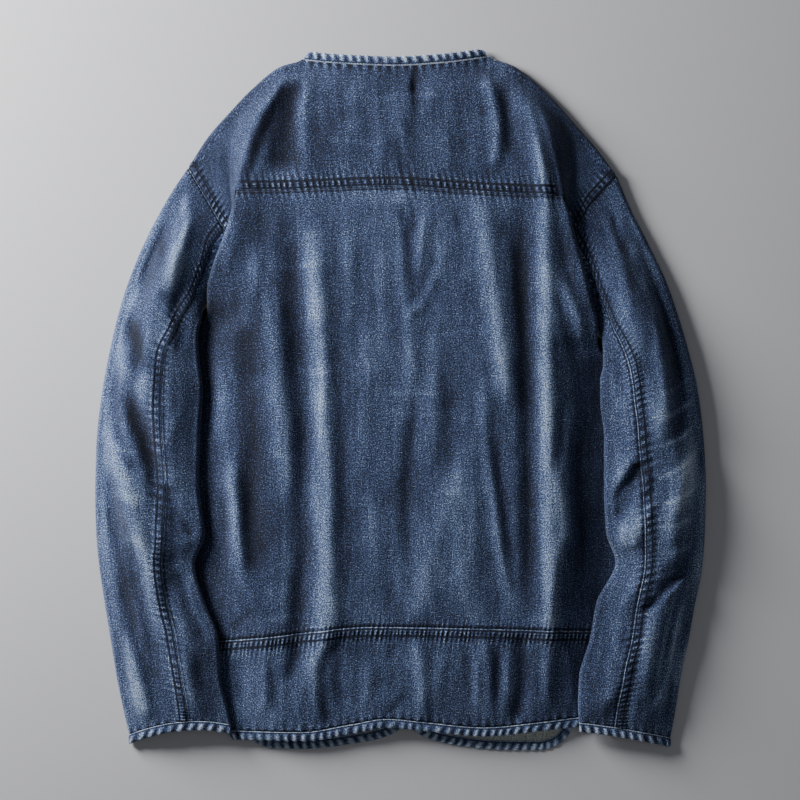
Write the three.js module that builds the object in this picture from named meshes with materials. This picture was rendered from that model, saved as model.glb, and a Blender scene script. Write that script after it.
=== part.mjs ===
// Collarless denim jacket, laid out flat on its front with the back facing up.
// Millimetres, +Z up out of the surface it lies on, +Y towards the neck, +X towards its right sleeve.
// Every panel is a wall of cloth: a grid of outer points, and the same grid moved in by the cloth.
import * as THREE from "three";

// Cloth and sewing sizes
const CLOTH = 1.6;
const SEAM_GAP = 0.3;
const BODY_CLEARANCE = 0.5;
const SLEEVE_SEAM_CLEARANCE = 0.5;
const LAP_WIDTH = 10;
const LAP_RISE = 0.9;
const LAP_SLOPE = 2.5;
const STRIP_WIDTH = 10;
const ROPE_PITCH = 9.6;
const ROPE_RISE = 0.5;
// How far a rope leans between the strip's seam and its edge, in radians of its wave
const ROPE_SLANT = 2.1;
// Wall of a strip, under its rounding and its ropes
const STRIP_WALL = 2.3;
// The fronts' armholes are drawn this far inside the sleeves' curve
const ARMHOLE_CLEARANCE = 2;
// Lengths over which folds die out: towards the back's edges, from the yoke's top edge, and, as a share
// of its own length, at each end of a fold
const EDGE_CALM = 16;
const YOKE_EDGE_CALM = 34;
const FOLD_END = 0.18;
// Widths that stand for the sleeves' panels where a distance is turned into a share of the ring
const SLEEVE_TOP_LENGTH = 115;
const SLEEVE_SEAM_LENGTH = 110;

// The laid-out jacket's middle, which is moved onto the origin
const MIDDLE = { x: -1.02, y: 0.25 };

// How finely each panel is divided
const BACK_COLUMNS = 26;
const BODY_ROWS = 19;
const SLEEVE_RINGS = 19;
const ROPE_COLUMNS_PER_PITCH = 3;

// Finish of each group of pieces, as sRGB colour and roughness
const DENIM = { color: 0x35507a, roughness: 0.95, metalness: 0 };
const DENIM_DARK = { color: 0x2b426a, roughness: 0.95, metalness: 0 };
const STRIP_DENIM = { color: 0x3e5a84, roughness: 0.95, metalness: 0 };

// The back's two side edges, by height y: x is how far out the fold reaches, top the height of the cloth
// where it starts to turn over, under the height it turns under at, turn the turn's width, tuck how far
// it runs back underneath, and reach how far in the edge is felt on top.
const LEFT_EDGE = [
  { y: -360, x: 177, top: 8, under: 0, turn: 3, tuck: 2, reach: 60 },
  { y: -335, x: 189, top: 7.5, under: 0, turn: 3, tuck: 6, reach: 60 },
  { y: -300, x: 199, top: 7, under: 0, turn: 3, tuck: 10, reach: 60 },
  { y: -250, x: 203, top: 7, under: 0, turn: 3, tuck: 10, reach: 62 },
  { y: -215, x: 217, top: 7, under: 0, turn: 3, tuck: 10, reach: 64 },
  { y: -170, x: 226, top: 7, under: 0, turn: 3, tuck: 10, reach: 64 },
  { y: -120, x: 221, top: 7, under: 0, turn: 3, tuck: 10, reach: 62 },
  { y: -60, x: 225, top: 7, under: 0, turn: 3, tuck: 10, reach: 62 },
  { y: 0, x: 219, top: 7, under: 0, turn: 3, tuck: 11, reach: 58 },
  { y: 60, x: 220, top: 7, under: 0, turn: 3, tuck: 8, reach: 56 },
  { y: 76, x: 214, top: 7.6, under: 0, turn: 3, tuck: 3, reach: 54 },
  { y: 83, x: 208.6, top: 8.4, under: 0.4, turn: 3.2, tuck: 1.5, reach: 54 },
  { y: 90, x: 205, top: 11, under: 3, turn: 3.5, tuck: 1.5, reach: 50 },
  { y: 98, x: 204, top: 16, under: 7, turn: 4, tuck: 2, reach: 46 },
  { y: 112, x: 204, top: 21, under: 10.5, turn: 4.5, tuck: 4, reach: 42 },
  { y: 136, x: 199, top: 24, under: 12.5, turn: 5, tuck: 9, reach: 40 },
  { y: 173, x: 185.5, top: 26, under: 12.5, turn: 5, tuck: 10, reach: 40 },
  { y: 197, x: 178, top: 26, under: 14, turn: 4.5, tuck: 7, reach: 40 },
  { y: 209, x: 174.6, top: 25, under: 18, turn: 3, tuck: 3, reach: 40 },
  { y: 218, x: 172, top: 24, under: 20.5, turn: 1.6, tuck: 1.5, reach: 40 },
];
const RIGHT_EDGE = [
  { y: -360, x: 190, top: 8, under: 0, turn: 3, tuck: 2, reach: 60 },
  { y: -335, x: 193, top: 7.5, under: 0, turn: 3, tuck: 6, reach: 60 },
  { y: -300, x: 199, top: 7, under: 0, turn: 3, tuck: 10, reach: 60 },
  { y: -245, x: 208, top: 7, under: 0, turn: 3, tuck: 10, reach: 62 },
  { y: -205, x: 219, top: 7, under: 0, turn: 3, tuck: 10, reach: 64 },
  { y: -165, x: 229, top: 7, under: 0, turn: 3, tuck: 10, reach: 66 },
  { y: -120, x: 225, top: 7, under: 0, turn: 3, tuck: 10, reach: 66 },
  { y: -70, x: 224, top: 7, under: 0, turn: 3, tuck: 10, reach: 66 },
  { y: -20, x: 222, top: 7, under: 0, turn: 3, tuck: 9, reach: 64 },
  { y: 28, x: 220, top: 7, under: 0, turn: 3, tuck: 5, reach: 62 },
  { y: 45, x: 215, top: 7.6, under: 0, turn: 3, tuck: 2, reach: 58 },
  { y: 52, x: 209.6, top: 8.4, under: 0.4, turn: 3.2, tuck: 1.5, reach: 54 },
  { y: 59, x: 206.4, top: 11, under: 3, turn: 3.5, tuck: 1.5, reach: 50 },
  { y: 67, x: 206, top: 16, under: 7, turn: 4, tuck: 2, reach: 46 },
  { y: 82, x: 205, top: 21, under: 10.5, turn: 4.5, tuck: 4, reach: 42 },
  { y: 104, x: 200, top: 24, under: 12.5, turn: 5, tuck: 9, reach: 40 },
  { y: 136, x: 192, top: 25, under: 12.5, turn: 5, tuck: 10, reach: 40 },
  { y: 167, x: 183, top: 25, under: 12.5, turn: 5, tuck: 10, reach: 40 },
  { y: 192, x: 177, top: 25, under: 14, turn: 4.5, tuck: 7, reach: 40 },
  { y: 204, x: 172.6, top: 24, under: 17, turn: 3, tuck: 3, reach: 40 },
  { y: 213, x: 169, top: 23, under: 19.5, turn: 1.6, tuck: 1.5, reach: 40 },
];

// The yoke carries each fold up as a ridge that softens towards the neck. Outside the ridge the cloth
// falls over the width flank to the height low.
const LEFT_RIDGE = [
  { y: 165, x: 172, top: 12, reach: 40, flank: 10, low: 10.5 },
  { y: 190, x: 172, top: 14, reach: 40, flank: 8, low: 10.5 },
  { y: 204, x: 171, top: 20, reach: 40, flank: 8, low: 11 },
  { y: 218, x: 170.4, top: 24, reach: 40, flank: 10, low: 11 },
  { y: 262, x: 160, top: 25, reach: 38, flank: 24, low: 11.5 },
  { y: 325, x: 138, top: 21, reach: 36, flank: 38, low: 11 },
  { y: 370, x: 118, top: 15, reach: 34, flank: 38, low: 9 },
];
const RIGHT_RIDGE = [
  { y: 160, x: 168, top: 12, reach: 40, flank: 10, low: 10.5 },
  { y: 186, x: 168, top: 14, reach: 40, flank: 8, low: 10.5 },
  { y: 200, x: 168, top: 19, reach: 40, flank: 8, low: 11 },
  { y: 213, x: 167.4, top: 23, reach: 40, flank: 10, low: 11 },
  { y: 262, x: 156, top: 25, reach: 36, flank: 26, low: 10.5 },
  { y: 325, x: 136, top: 21, reach: 34, flank: 34, low: 10.5 },
  { y: 370, x: 112, top: 15, reach: 32, flank: 34, low: 9 },
];

// Height of the back along its middle, by y
const CROWN = [
  { y: -360, z: 12.6 },
  { y: -330, z: 15 },
  { y: -250, z: 20 },
  { y: -100, z: 23 },
  { y: 100, z: 23 },
  { y: 218, z: 21 },
  { y: 280, z: 19 },
  { y: 355, z: 14.5 },
];

// Seam lines of the back, as a share of the way across from left to right
const YOKE_SEAM = [
  { across: 0, y: 218 },
  { across: 0.16, y: 219 },
  { across: 0.47, y: 222.5 },
  { across: 0.73, y: 217 },
  { across: 1, y: 212.5 },
];
const BAND_SEAM = [
  { across: 0, y: -255 },
  { across: 0.17, y: -248 },
  { across: 0.42, y: -238 },
  { across: 0.6, y: -239 },
  { across: 0.8, y: -241 },
  { across: 1, y: -244 },
];
const BACK_HEM = [
  { across: 0, y: -358 },
  { across: 0.2, y: -359 },
  { across: 0.35, y: -351 },
  { across: 0.45, y: -345 },
  { across: 0.57, y: -349 },
  { across: 0.72, y: -354 },
  { across: 0.9, y: -348 },
  { across: 1, y: -344 },
];

// Folds of the back: a soft ridge (lift over 0) or trough that runs from y = from down to y = to,
// through x at its top, middle and bottom
const BACK_FOLDS = [
  { from: 212, to: -345, top: -101, middle: -73, bottom: -92, width: 13, lift: 5.5 },
  { from: 218, to: -330, top: -120, middle: -101, bottom: -118, width: 11, lift: -4.5 },
  { from: 130, to: -120, top: -136, middle: -128, bottom: -116, width: 13, lift: 3.5 },
  { from: 110, to: -215, top: -165, middle: -158, bottom: -150, width: 13, lift: -3.5 },
  { from: -60, to: -215, top: -178, middle: -170, bottom: -160, width: 9, lift: 3 },
  { from: 340, to: 232, top: -112, middle: -116, bottom: -118, width: 14, lift: -4 },
  { from: 345, to: -20, top: -2, middle: 4, bottom: 14, width: 9, lift: 1.8 },
  { from: 170, to: 80, top: 44, middle: 32, bottom: 6, width: 8, lift: 1.8 },
  { from: 230, to: -20, top: 80, middle: 98, bottom: 112, width: 13, lift: 4.5 },
  { from: 40, to: -235, top: 82, middle: 98, bottom: 114, width: 9, lift: 3.2 },
  { from: 225, to: -245, top: 124, middle: 132, bottom: 133, width: 9, lift: -4 },
  { from: 345, to: -330, top: 146, middle: 153, bottom: 156, width: 10, lift: 5 },
  { from: 345, to: 236, top: 84, middle: 102, bottom: 98, width: 10, lift: 3.2 },
  { from: -60, to: -250, top: 55, middle: 35, bottom: 8, width: 14, lift: 2.4 },
  { from: -246, to: -350, top: -64, middle: -84, bottom: -70, width: 8, lift: -2.6 },
  { from: -246, to: -345, top: 14, middle: 22, bottom: 20, width: 8, lift: 2 },
  { from: -240, to: -345, top: 84, middle: 92, bottom: 94, width: 8, lift: 2.2 },
  { from: -240, to: -345, top: 122, middle: 128, bottom: 116, width: 8, lift: -3 },
];

// The armhole seam in plan, from the shoulder point down to the underarm point
const LEFT_ARMHOLE = [
  { x: 225, y: 243 },
  { x: 205, y: 209 },
  { x: 193, y: 188 },
  { x: 184, y: 171 },
  { x: 184, y: 157 },
  { x: 187, y: 143 },
  { x: 196, y: 120 },
  { x: 207.5, y: 99 },
];
const RIGHT_ARMHOLE = [
  { x: 227, y: 234 },
  { x: 213, y: 220 },
  { x: 200, y: 206 },
  { x: 189, y: 187 },
  { x: 179, y: 165 },
  { x: 180, y: 146 },
  { x: 188, y: 118 },
  { x: 200, y: 93 },
  { x: 209, y: 69 },
];

// Outline of each shoulder in plan, from the shoulder point to the neck
const LEFT_SHOULDER = [
  { x: 225, y: 243 },
  { x: 203, y: 277 },
  { x: 181, y: 302 },
  { x: 157, y: 327 },
  { x: 126, y: 351 },
  { x: 103.4, y: 358 },
];
const RIGHT_SHOULDER = [
  { x: 227, y: 234 },
  { x: 205, y: 264 },
  { x: 183, y: 289 },
  { x: 161, y: 314 },
  { x: 134, y: 339 },
  { x: 116, y: 352 },
  { x: 90.8, y: 361 },
];

// Where the yoke's lower edge leaves the seam and slips under each body fold
const LEFT_YOKE_END = [
  { x: 184, y: 171 },
  { x: 178.6, y: 188 },
  { x: 177.7, y: 200 },
  { x: 175.8, y: 209 },
  { x: 173.4, y: 218.6 },
];
const RIGHT_YOKE_END = [
  { x: 179, y: 165 },
  { x: 177.2, y: 183 },
  { x: 177.4, y: 193.5 },
  { x: 174.2, y: 204 },
  { x: 170.6, y: 213.2 },
];

// The neck's edge at the back, with the height of the cloth there
const BACK_NECK = [
  { x: -101, y: 367, z: 6.2 },
  { x: -80, y: 364, z: 10 },
  { x: -48, y: 361.5, z: 13.5 },
  { x: -7, y: 360, z: 14.5 },
  { x: 36, y: 362.5, z: 13.5 },
  { x: 68, y: 366.5, z: 10 },
  { x: 88, y: 370, z: 6.2 },
];

// The edge of each front, from the neck round the centre front to the side of the hem
const LEFT_FRONT_EDGE = [
  { x: -97, y: 353 },
  { x: -90, y: 325 },
  { x: -68, y: 303 },
  { x: -36, y: 291 },
  { x: -14, y: 288 },
  { x: -1, y: 281 },
  { x: 4.5, y: 269 },
  { x: 5.6, y: 254 },
  { x: 5.6, y: 120 },
  { x: 5.6, y: -120 },
  { x: 5.6, y: -322 },
  { x: 2, y: -342 },
  { x: -12, y: -354 },
  { x: -51, y: -363 },
  { x: -103, y: -368.5 },
  { x: -134, y: -368 },
  { x: -151, y: -363.5 },
  { x: -162, y: -355.5 },
  { x: -167, y: -346 },
  { x: -168, y: -336 },
];
const RIGHT_FRONT_EDGE = [
  { x: 84, y: 355 },
  { x: 80, y: 325 },
  { x: 64, y: 303 },
  { x: 40, y: 291 },
  { x: 26, y: 288 },
  { x: 13, y: 281 },
  { x: 7.4, y: 269 },
  { x: 6.2, y: 254 },
  { x: 6.2, y: 120 },
  { x: 6.2, y: -120 },
  { x: 6.2, y: -322 },
  { x: 10, y: -344 },
  { x: 24, y: -356 },
  { x: 60, y: -365 },
  { x: 105, y: -369.5 },
  { x: 144, y: -370 },
  { x: 161, y: -366 },
  { x: 173, y: -358 },
  { x: 179, y: -348 },
  { x: 181, y: -337 },
];
// Rows of those tables where the neck and the hem turn into the centre front
const NECK_TURN_ROW = 5;
const HEM_TURN_ROW = 11;

// Each sleeve as rings from the armhole to the cuff: ends of the ring at the outer and inner fold, bow for
// how much of the armhole's curve it keeps, where the sleeve seam crosses it (0 outer fold, 1 inner fold),
// z0 to z3 for the height of the cloth at the outer fold, at each third across and at the inner fold, and how
// far the inner fold is lifted by the body's edge under it.
const LEFT_SLEEVE = [
  { ox: 225, oy: 243, ix: 207.5, iy: 99, bow: 1, seam: 0.46, z0: 10, z1: 11.5, z2: 11, z3: 8.5, lift: 0.4 },
  { ox: 240, oy: 221, ix: 208.4, iy: 96.5, bow: 0.78, seam: 0.5, z0: 10, z1: 17, z2: 12, z3: 9.5, lift: 1.5 },
  { ox: 259, oy: 188, ix: 209, iy: 91, bow: 0.5, seam: 0.66, z0: 11, z1: 24, z2: 17, z3: 13.5, lift: 5.5 },
  { ox: 277, oy: 150, ix: 210, iy: 82, bow: 0.28, seam: 0.75, z0: 12, z1: 29, z2: 24, z3: 19, lift: 10.2 },
  { ox: 295, oy: 100, ix: 213, iy: 66, bow: 0.1, seam: 0.74, z0: 13, z1: 32, z2: 29, z3: 21, lift: 10.5 },
  { ox: 307, oy: 50, ix: 212, iy: 45, bow: 0, seam: 0.65, z0: 14, z1: 33, z2: 31, z3: 21, lift: 10 },
  { ox: 316, oy: 0, ix: 208, iy: 8, bow: 0, seam: 0.62, z0: 14, z1: 32, z2: 31, z3: 21, lift: 9.5 },
  { ox: 321, oy: -50, ix: 211, iy: -38, bow: 0, seam: 0.67, z0: 14, z1: 32, z2: 31, z3: 21, lift: 9.5 },
  { ox: 322, oy: -100, ix: 212, iy: -88, bow: 0, seam: 0.71, z0: 14, z1: 32, z2: 31, z3: 21, lift: 9.5 },
  { ox: 321, oy: -140, ix: 206, iy: -140, bow: 0, seam: 0.65, z0: 14, z1: 31, z2: 31, z3: 22, lift: 9.5 },
  { ox: 318, oy: -174, ix: 216.5, iy: -173, bow: 0, seam: 0.69, z0: 14, z1: 30, z2: 29, z3: 20, lift: 9.5 },
  { ox: 312, oy: -215, ix: 206, iy: -212, bow: 0, seam: 0.65, z0: 13, z1: 28, z2: 28, z3: 20, lift: 9.5 },
  { ox: 306, oy: -252, ix: 192, iy: -250, bow: 0, seam: 0.62, z0: 13, z1: 27, z2: 27, z3: 20, lift: 9.5 },
  { ox: 299, oy: -295, ix: 189, iy: -293, bow: 0, seam: 0.64, z0: 12, z1: 25, z2: 25, z3: 19, lift: 9.5 },
  { ox: 292, oy: -329, ix: 182, iy: -324, bow: 0, seam: 0.61, z0: 10, z1: 21, z2: 21, z3: 18, lift: 10 },
  { ox: 287, oy: -352, ix: 179, iy: -340, bow: 0, seam: 0.59, z0: 8.5, z1: 17, z2: 17.5, z3: 17, lift: 10.5 },
];
const RIGHT_SLEEVE = [
  { ox: 227, oy: 234, ix: 209, iy: 69, bow: 1, seam: 0.42, z0: 10, z1: 11.5, z2: 11, z3: 8.5, lift: 0.4 },
  { ox: 240, oy: 203, ix: 209.8, iy: 66.5, bow: 0.78, seam: 0.46, z0: 10, z1: 17, z2: 12, z3: 9.5, lift: 1.5 },
  { ox: 260, oy: 163, ix: 210.4, iy: 61, bow: 0.5, seam: 0.63, z0: 11, z1: 24, z2: 17, z3: 13.5, lift: 5.5 },
  { ox: 278, oy: 125, ix: 211, iy: 51, bow: 0.28, seam: 0.74, z0: 12, z1: 28, z2: 23, z3: 19, lift: 10.2 },
  { ox: 291, oy: 88, ix: 211, iy: 36, bow: 0.1, seam: 0.73, z0: 13, z1: 30, z2: 27, z3: 21, lift: 10.5 },
  { ox: 302, oy: 50, ix: 208, iy: 20, bow: 0, seam: 0.7, z0: 14, z1: 31, z2: 29, z3: 21, lift: 10 },
  { ox: 311, oy: 12, ix: 208, iy: -2, bow: 0, seam: 0.69, z0: 14, z1: 31, z2: 30, z3: 21, lift: 9.5 },
  { ox: 317, oy: -35, ix: 212, iy: -40, bow: 0, seam: 0.69, z0: 14, z1: 31, z2: 30, z3: 21, lift: 9.5 },
  { ox: 320, oy: -90, ix: 212, iy: -92, bow: 0, seam: 0.65, z0: 14, z1: 31, z2: 30, z3: 21, lift: 9.5 },
  { ox: 319, oy: -135, ix: 214, iy: -138, bow: 0, seam: 0.64, z0: 14, z1: 31, z2: 30, z3: 22, lift: 9.5 },
  { ox: 316, oy: -177, ix: 224, iy: -171, bow: 0, seam: 0.7, z0: 14, z1: 30, z2: 28, z3: 20, lift: 9.5 },
  { ox: 308, oy: -218, ix: 204, iy: -213, bow: 0, seam: 0.61, z0: 13, z1: 28, z2: 27, z3: 20, lift: 9.5 },
  { ox: 302, oy: -252, ix: 198, iy: -248, bow: 0, seam: 0.6, z0: 13, z1: 27, z2: 26, z3: 20, lift: 9.5 },
  { ox: 294, oy: -290, ix: 186, iy: -291, bow: 0, seam: 0.58, z0: 12, z1: 25, z2: 25, z3: 19, lift: 9.5 },
  { ox: 288, oy: -328, ix: 185, iy: -322, bow: 0, seam: 0.61, z0: 10, z1: 21, z2: 21, z3: 18, lift: 10 },
  { ox: 283, oy: -355, ix: 186, iy: -338, bow: 0, seam: 0.62, z0: 8.5, z1: 17, z2: 17.5, z3: 17, lift: 10.5 },
];
// How far the middle of the last ring lies towards the shoulder from its straight line
const LEFT_CUFF_BOW = 9;
const RIGHT_CUFF_BOW = 2;
// Share of the ring's width over which the inner fold's lift fades out on the underside
const LIFT_FADE = 0.36;
// Underside seam of each sleeve, as a share of the ring's width from the outer fold
const UNDER_SEAM = 0.5;

// Folds of the sleeves, by y again, with x as the distance from the jacket's middle
const LEFT_SLEEVE_FOLDS = [
  { from: 225, to: 100, top: 219, middle: 231, bottom: 238, width: 8, lift: 4 },
  { from: 225, to: 30, top: 238, middle: 266, bottom: 270, width: 8, lift: -3.5 },
  { from: 60, to: -90, top: 302, middle: 300, bottom: 268, width: 8, lift: -3.5 },
  { from: -60, to: -330, top: 305, middle: 290, bottom: 252, width: 9, lift: -4 },
  { from: -85, to: -150, top: 248, middle: 232, bottom: 214, width: 7, lift: -3 },
  { from: -175, to: -260, top: 232, middle: 222, bottom: 206, width: 8, lift: -2.5 },
  { from: -240, to: -340, top: 290, middle: 275, bottom: 262, width: 7, lift: 2.5 },
];
const RIGHT_SLEEVE_FOLDS = [
  { from: 215, to: -60, top: 228, middle: 268, bottom: 268, width: 9, lift: 4 },
  { from: 200, to: -60, top: 246, middle: 284, bottom: 288, width: 8, lift: -4 },
  { from: -60, to: -130, top: 252, middle: 238, bottom: 222, width: 8, lift: -3.5 },
  { from: -100, to: -160, top: 262, middle: 250, bottom: 238, width: 9, lift: 3 },
  { from: -180, to: -225, top: 296, middle: 272, bottom: 250, width: 7, lift: -3 },
  { from: -200, to: -335, top: 302, middle: 286, bottom: 266, width: 7, lift: 3 },
  { from: -215, to: -340, top: 304, middle: 296, bottom: 276, width: 6, lift: -3 },
];

// Small arithmetic
const mix = (a, b, t) => a + (b - a) * t;
const clamp01 = (t) => Math.min(1, Math.max(0, t));
const smooth = (t) => clamp01(t) ** 2 * (3 - 2 * clamp01(t));
const fadeOut = (t) => 1 - smooth(t);
const span = (count) => Array.from({ length: count + 1 }, (_, i) => i / count);

// Reads a table as smooth curves without overshoot: gives every column at any value of the key column.
function track(rows, key) {
  const at = rows.map((row) => row[key]);
  const slopes = {};
  for (const column of Object.keys(rows[0])) {
    const value = rows.map((row) => row[column]);
    const step = (i) => (value[i + 1] - value[i]) / (at[i + 1] - at[i]);
    slopes[column] = rows.map((row, i) => {
      if (i === 0) return step(0);
      if (i === rows.length - 1) return step(i - 1);
      const [before, after] = [step(i - 1), step(i)];
      return before * after <= 0 ? 0 : (2 * before * after) / (before + after);
    });
  }
  return (wanted) => {
    const k = Math.min(Math.max(wanted, at[0]), at[at.length - 1]);
    let i = 0;
    while (i < rows.length - 2 && k > at[i + 1]) i += 1;
    const length = at[i + 1] - at[i];
    const t = (k - at[i]) / length;
    const out = {};
    for (const column of Object.keys(slopes)) {
      const [a, b] = [rows[i][column], rows[i + 1][column]];
      const [sa, sb] = [slopes[column][i] * length, slopes[column][i + 1] * length];
      out[column] = a + t * (sa + t * (3 * (b - a) - 2 * sa - sb + t * (sa + sb - 2 * (b - a))));
    }
    return out;
  };
}

// A smooth path through the rows of a table, by the share of its length.
function pathOf(rows) {
  const shares = [0];
  for (let i = 1; i < rows.length; i += 1) {
    const step = Math.hypot(rows[i].x - rows[i - 1].x, rows[i].y - rows[i - 1].y);
    shares.push(shares[i - 1] + step);
  }
  const total = shares[rows.length - 1];
  const at = track(rows.map((row, i) => ({ ...row, share: shares[i] / total })), "share");
  const path = (t) => at(t);
  path.total = total;
  path.shares = shares.map((s) => s / total);
  return path;
}

const mirrored = (rows, sign) => rows.map((row) => ({ ...row, x: row.x * sign }));

// A point beside a path: to its left looking along it, by the distance aside.
function beside(path, t, aside) {
  const step = 0.002;
  const a = path(Math.max(0, t - step));
  const b = path(Math.min(1, t + step));
  const length = Math.hypot(b.x - a.x, b.y - a.y);
  const here = path(t);
  const x = here.x - ((b.y - a.y) / length) * aside;
  const y = here.y + ((b.x - a.x) / length) * aside;
  return { ...here, x, y };
}

// Sum of a table of folds at a place
function foldHeight(folds, x, y) {
  let height = 0;
  for (const fold of folds) {
    const t = (fold.from - y) / (fold.from - fold.to);
    if (t <= 0 || t >= 1) continue;
    const bend =
      fold.top * (1 - t) * (1 - 2 * t) + fold.middle * 4 * t * (1 - t) + fold.bottom * t * (2 * t - 1);
    const ends = smooth(t / FOLD_END) * smooth((1 - t) / FOLD_END);
    height += fold.lift * ends * Math.exp(-(((x - bend) / fold.width) ** 2));
  }
  return height;
}

// Closes a grid of outer points into a wall: normals point out of the cloth when columns run to +X and
// rows to +Y seen from above. rise lifts outer points alone. A wrapped wall joins its last column to the
// first.
function wall(grid, { thickness = CLOTH, wrap = false, rise = null } = {}) {
  const rows = grid.length;
  const columns = grid[0].length;
  const point = (i, j) => grid[i][j];
  const outer = [];
  const inner = [];
  const a = new THREE.Vector3();
  const b = new THREE.Vector3();
  for (let i = 0; i < rows; i += 1) {
    for (let j = 0; j < columns; j += 1) {
      const left = wrap ? (j + columns - 1) % columns : Math.max(0, j - 1);
      const right = wrap ? (j + 1) % columns : Math.min(columns - 1, j + 1);
      a.subVectors(point(i, right), point(i, left));
      b.subVectors(point(Math.min(rows - 1, i + 1), j), point(Math.max(0, i - 1), j));
      const normal = a.clone().cross(b).normalize();
      inner.push(point(i, j).clone().addScaledVector(normal, -thickness));
      outer.push(point(i, j).clone().addScaledVector(normal, rise ? rise(i, j) : 0));
    }
  }
  const vertices = [...outer, ...inner];
  const faces = [];
  const o = (i, j) => i * columns + (j % columns);
  const n = (i, j) => rows * columns + o(i, j);
  const quad = (p, q, r, s) => faces.push(p, q, r, p, r, s);
  const lastColumn = wrap ? columns : columns - 1;
  for (let i = 0; i < rows - 1; i += 1) {
    for (let j = 0; j < lastColumn; j += 1) {
      quad(o(i, j), o(i, j + 1), o(i + 1, j + 1), o(i + 1, j));
      quad(n(i, j), n(i + 1, j), n(i + 1, j + 1), n(i, j + 1));
    }
  }
  for (let j = 0; j < lastColumn; j += 1) {
    quad(o(0, j), n(0, j), n(0, j + 1), o(0, j + 1));
    quad(o(rows - 1, j), o(rows - 1, j + 1), n(rows - 1, j + 1), n(rows - 1, j));
  }
  if (!wrap) {
    for (let i = 0; i < rows - 1; i += 1) {
      quad(o(i, 0), o(i + 1, 0), n(i + 1, 0), n(i, 0));
      quad(o(i, columns - 1), n(i, columns - 1), n(i + 1, columns - 1), o(i + 1, columns - 1));
    }
  }
  const geometry = new THREE.BufferGeometry();
  const numbers = vertices.flatMap((v) => [v.x, v.y, v.z]);
  geometry.setAttribute("position", new THREE.Float32BufferAttribute(numbers, 3));
  geometry.setIndex(faces);
  geometry.computeVertexNormals();
  return geometry;
}

// Mirrors a grid across the middle and turns its columns round, so that its faces still point out.
const mirrorGrid = (grid) =>
  grid.map((row) => row.map((p) => new THREE.Vector3(-p.x, p.y, p.z)).reverse());

// Back of the jacket
const leftEdge = track(LEFT_EDGE, "y");
const rightEdge = track(RIGHT_EDGE, "y");
const crownAt = track(CROWN, "y");
const seamAt = (rows) => {
  const at = track(rows, "across");
  return (across) => at(across).y;
};
const yokeSeamY = seamAt(YOKE_SEAM);
const bandSeamY = seamAt(BAND_SEAM);
const backHemY = seamAt(BACK_HEM);

// Height of the back's cloth between two edges or ridges, each given by x, top and reach.
function crossHeight(x, y, left, right) {
  const crown = crownAt(y).z;
  const fromLeft = x + left.x;
  const fromRight = right.x - x;
  const nearEdge = smooth(Math.min(fromLeft, fromRight) / EDGE_CALM);
  return (
    crown +
    (left.top - crown) * fadeOut(fromLeft / left.reach) +
    (right.top - crown) * fadeOut(fromRight / right.reach) +
    foldHeight(BACK_FOLDS, x, y) * nearEdge
  );
}

// A point of the back on the row yAt(share across). station -1 to -0.5 is the left tuck underneath, -0.5 to 0
// the left turn, 0 to 1 the top, 1 to 1.5 the right turn and 1.5 to 2 the right tuck.
function backPoint(station, yAt) {
  const across = clamp01(station);
  const y = yAt(across);
  const [left, right] = [leftEdge(y), rightEdge(y)];
  const leftTop = { ...left, x: left.x - left.turn };
  const rightTop = { ...right, x: right.x - right.turn };
  if (station >= 0 && station <= 1) {
    const x = mix(-leftTop.x, rightTop.x, across);
    return new THREE.Vector3(x, y, crossHeight(x, y, leftTop, rightTop));
  }
  const side = station < 0 ? -1 : 1;
  const edge = station < 0 ? left : right;
  const past = station < 0 ? -station : station - 1;
  const angle = Math.PI * Math.min(1, past * 2);
  const tucked = Math.max(0, past * 2 - 1) * edge.tuck;
  const x = edge.x - edge.turn * (1 - Math.sin(angle)) - tucked;
  const z = mix(edge.under, edge.top, (1 + Math.cos(angle)) / 2);
  return new THREE.Vector3(side * x, y, z);
}

// Stations of one tuck and turn
const EDGE_STATIONS = [-1, -0.5, -0.39, -0.28, -0.17, -0.07];
const backStations = (columns) => [
  ...EDGE_STATIONS,
  ...span(columns),
  ...EDGE_STATIONS.map((s) => 1 - s).reverse(),
];
const lapShare = (distance) => LAP_RISE * fadeOut((distance - LAP_WIDTH) / LAP_SLOPE);

const bodyStations = backStations(BACK_COLUMNS);
const bodyGrid = span(BODY_ROWS).map((t) => {
  const yAt = (across) => mix(bandSeamY(across) + BODY_CLEARANCE, yokeSeamY(across) - BODY_CLEARANCE, t);
  return bodyStations.map((station) => backPoint(station, yAt));
});

// Rows of the hem band: shares of the way down to its hem, and then its lapped upper edge
const BAND_FALLS = [1, 0.84, 0.62, 0.38];
const BAND_LAPS = [LAP_WIDTH + LAP_SLOPE, LAP_WIDTH, 0];
const bandHemGap = STRIP_WIDTH + 2 * SEAM_GAP;
const bandRow = (yAt) => bodyStations.map((station) => backPoint(station, yAt));
const bandGrid = [
  ...BAND_FALLS.map((fall) => bandRow((a) => mix(bandSeamY(a), backHemY(a) + bandHemGap, fall))),
  ...BAND_LAPS.map((down) => bandRow((a) => bandSeamY(a) - down)),
];
const onTop = (station) => station > -0.2 && station < 1.2;
const bandRise = (i, j) =>
  i >= BAND_FALLS.length && onTop(bodyStations[j]) ? lapShare(BAND_LAPS[i - BAND_FALLS.length]) : 0;

// Across the strip: distances from the panel's seam, and how much the strip rounds up there
const STRIP_PROFILE = [
  { out: 0, round: 0 },
  { out: 0.55, round: 0.6 },
  { out: 1, round: -0.4 },
];
const ropeRise = (along, out) => ROPE_RISE * Math.sin((2 * Math.PI * along) / ROPE_PITCH + out * ROPE_SLANT);

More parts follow.
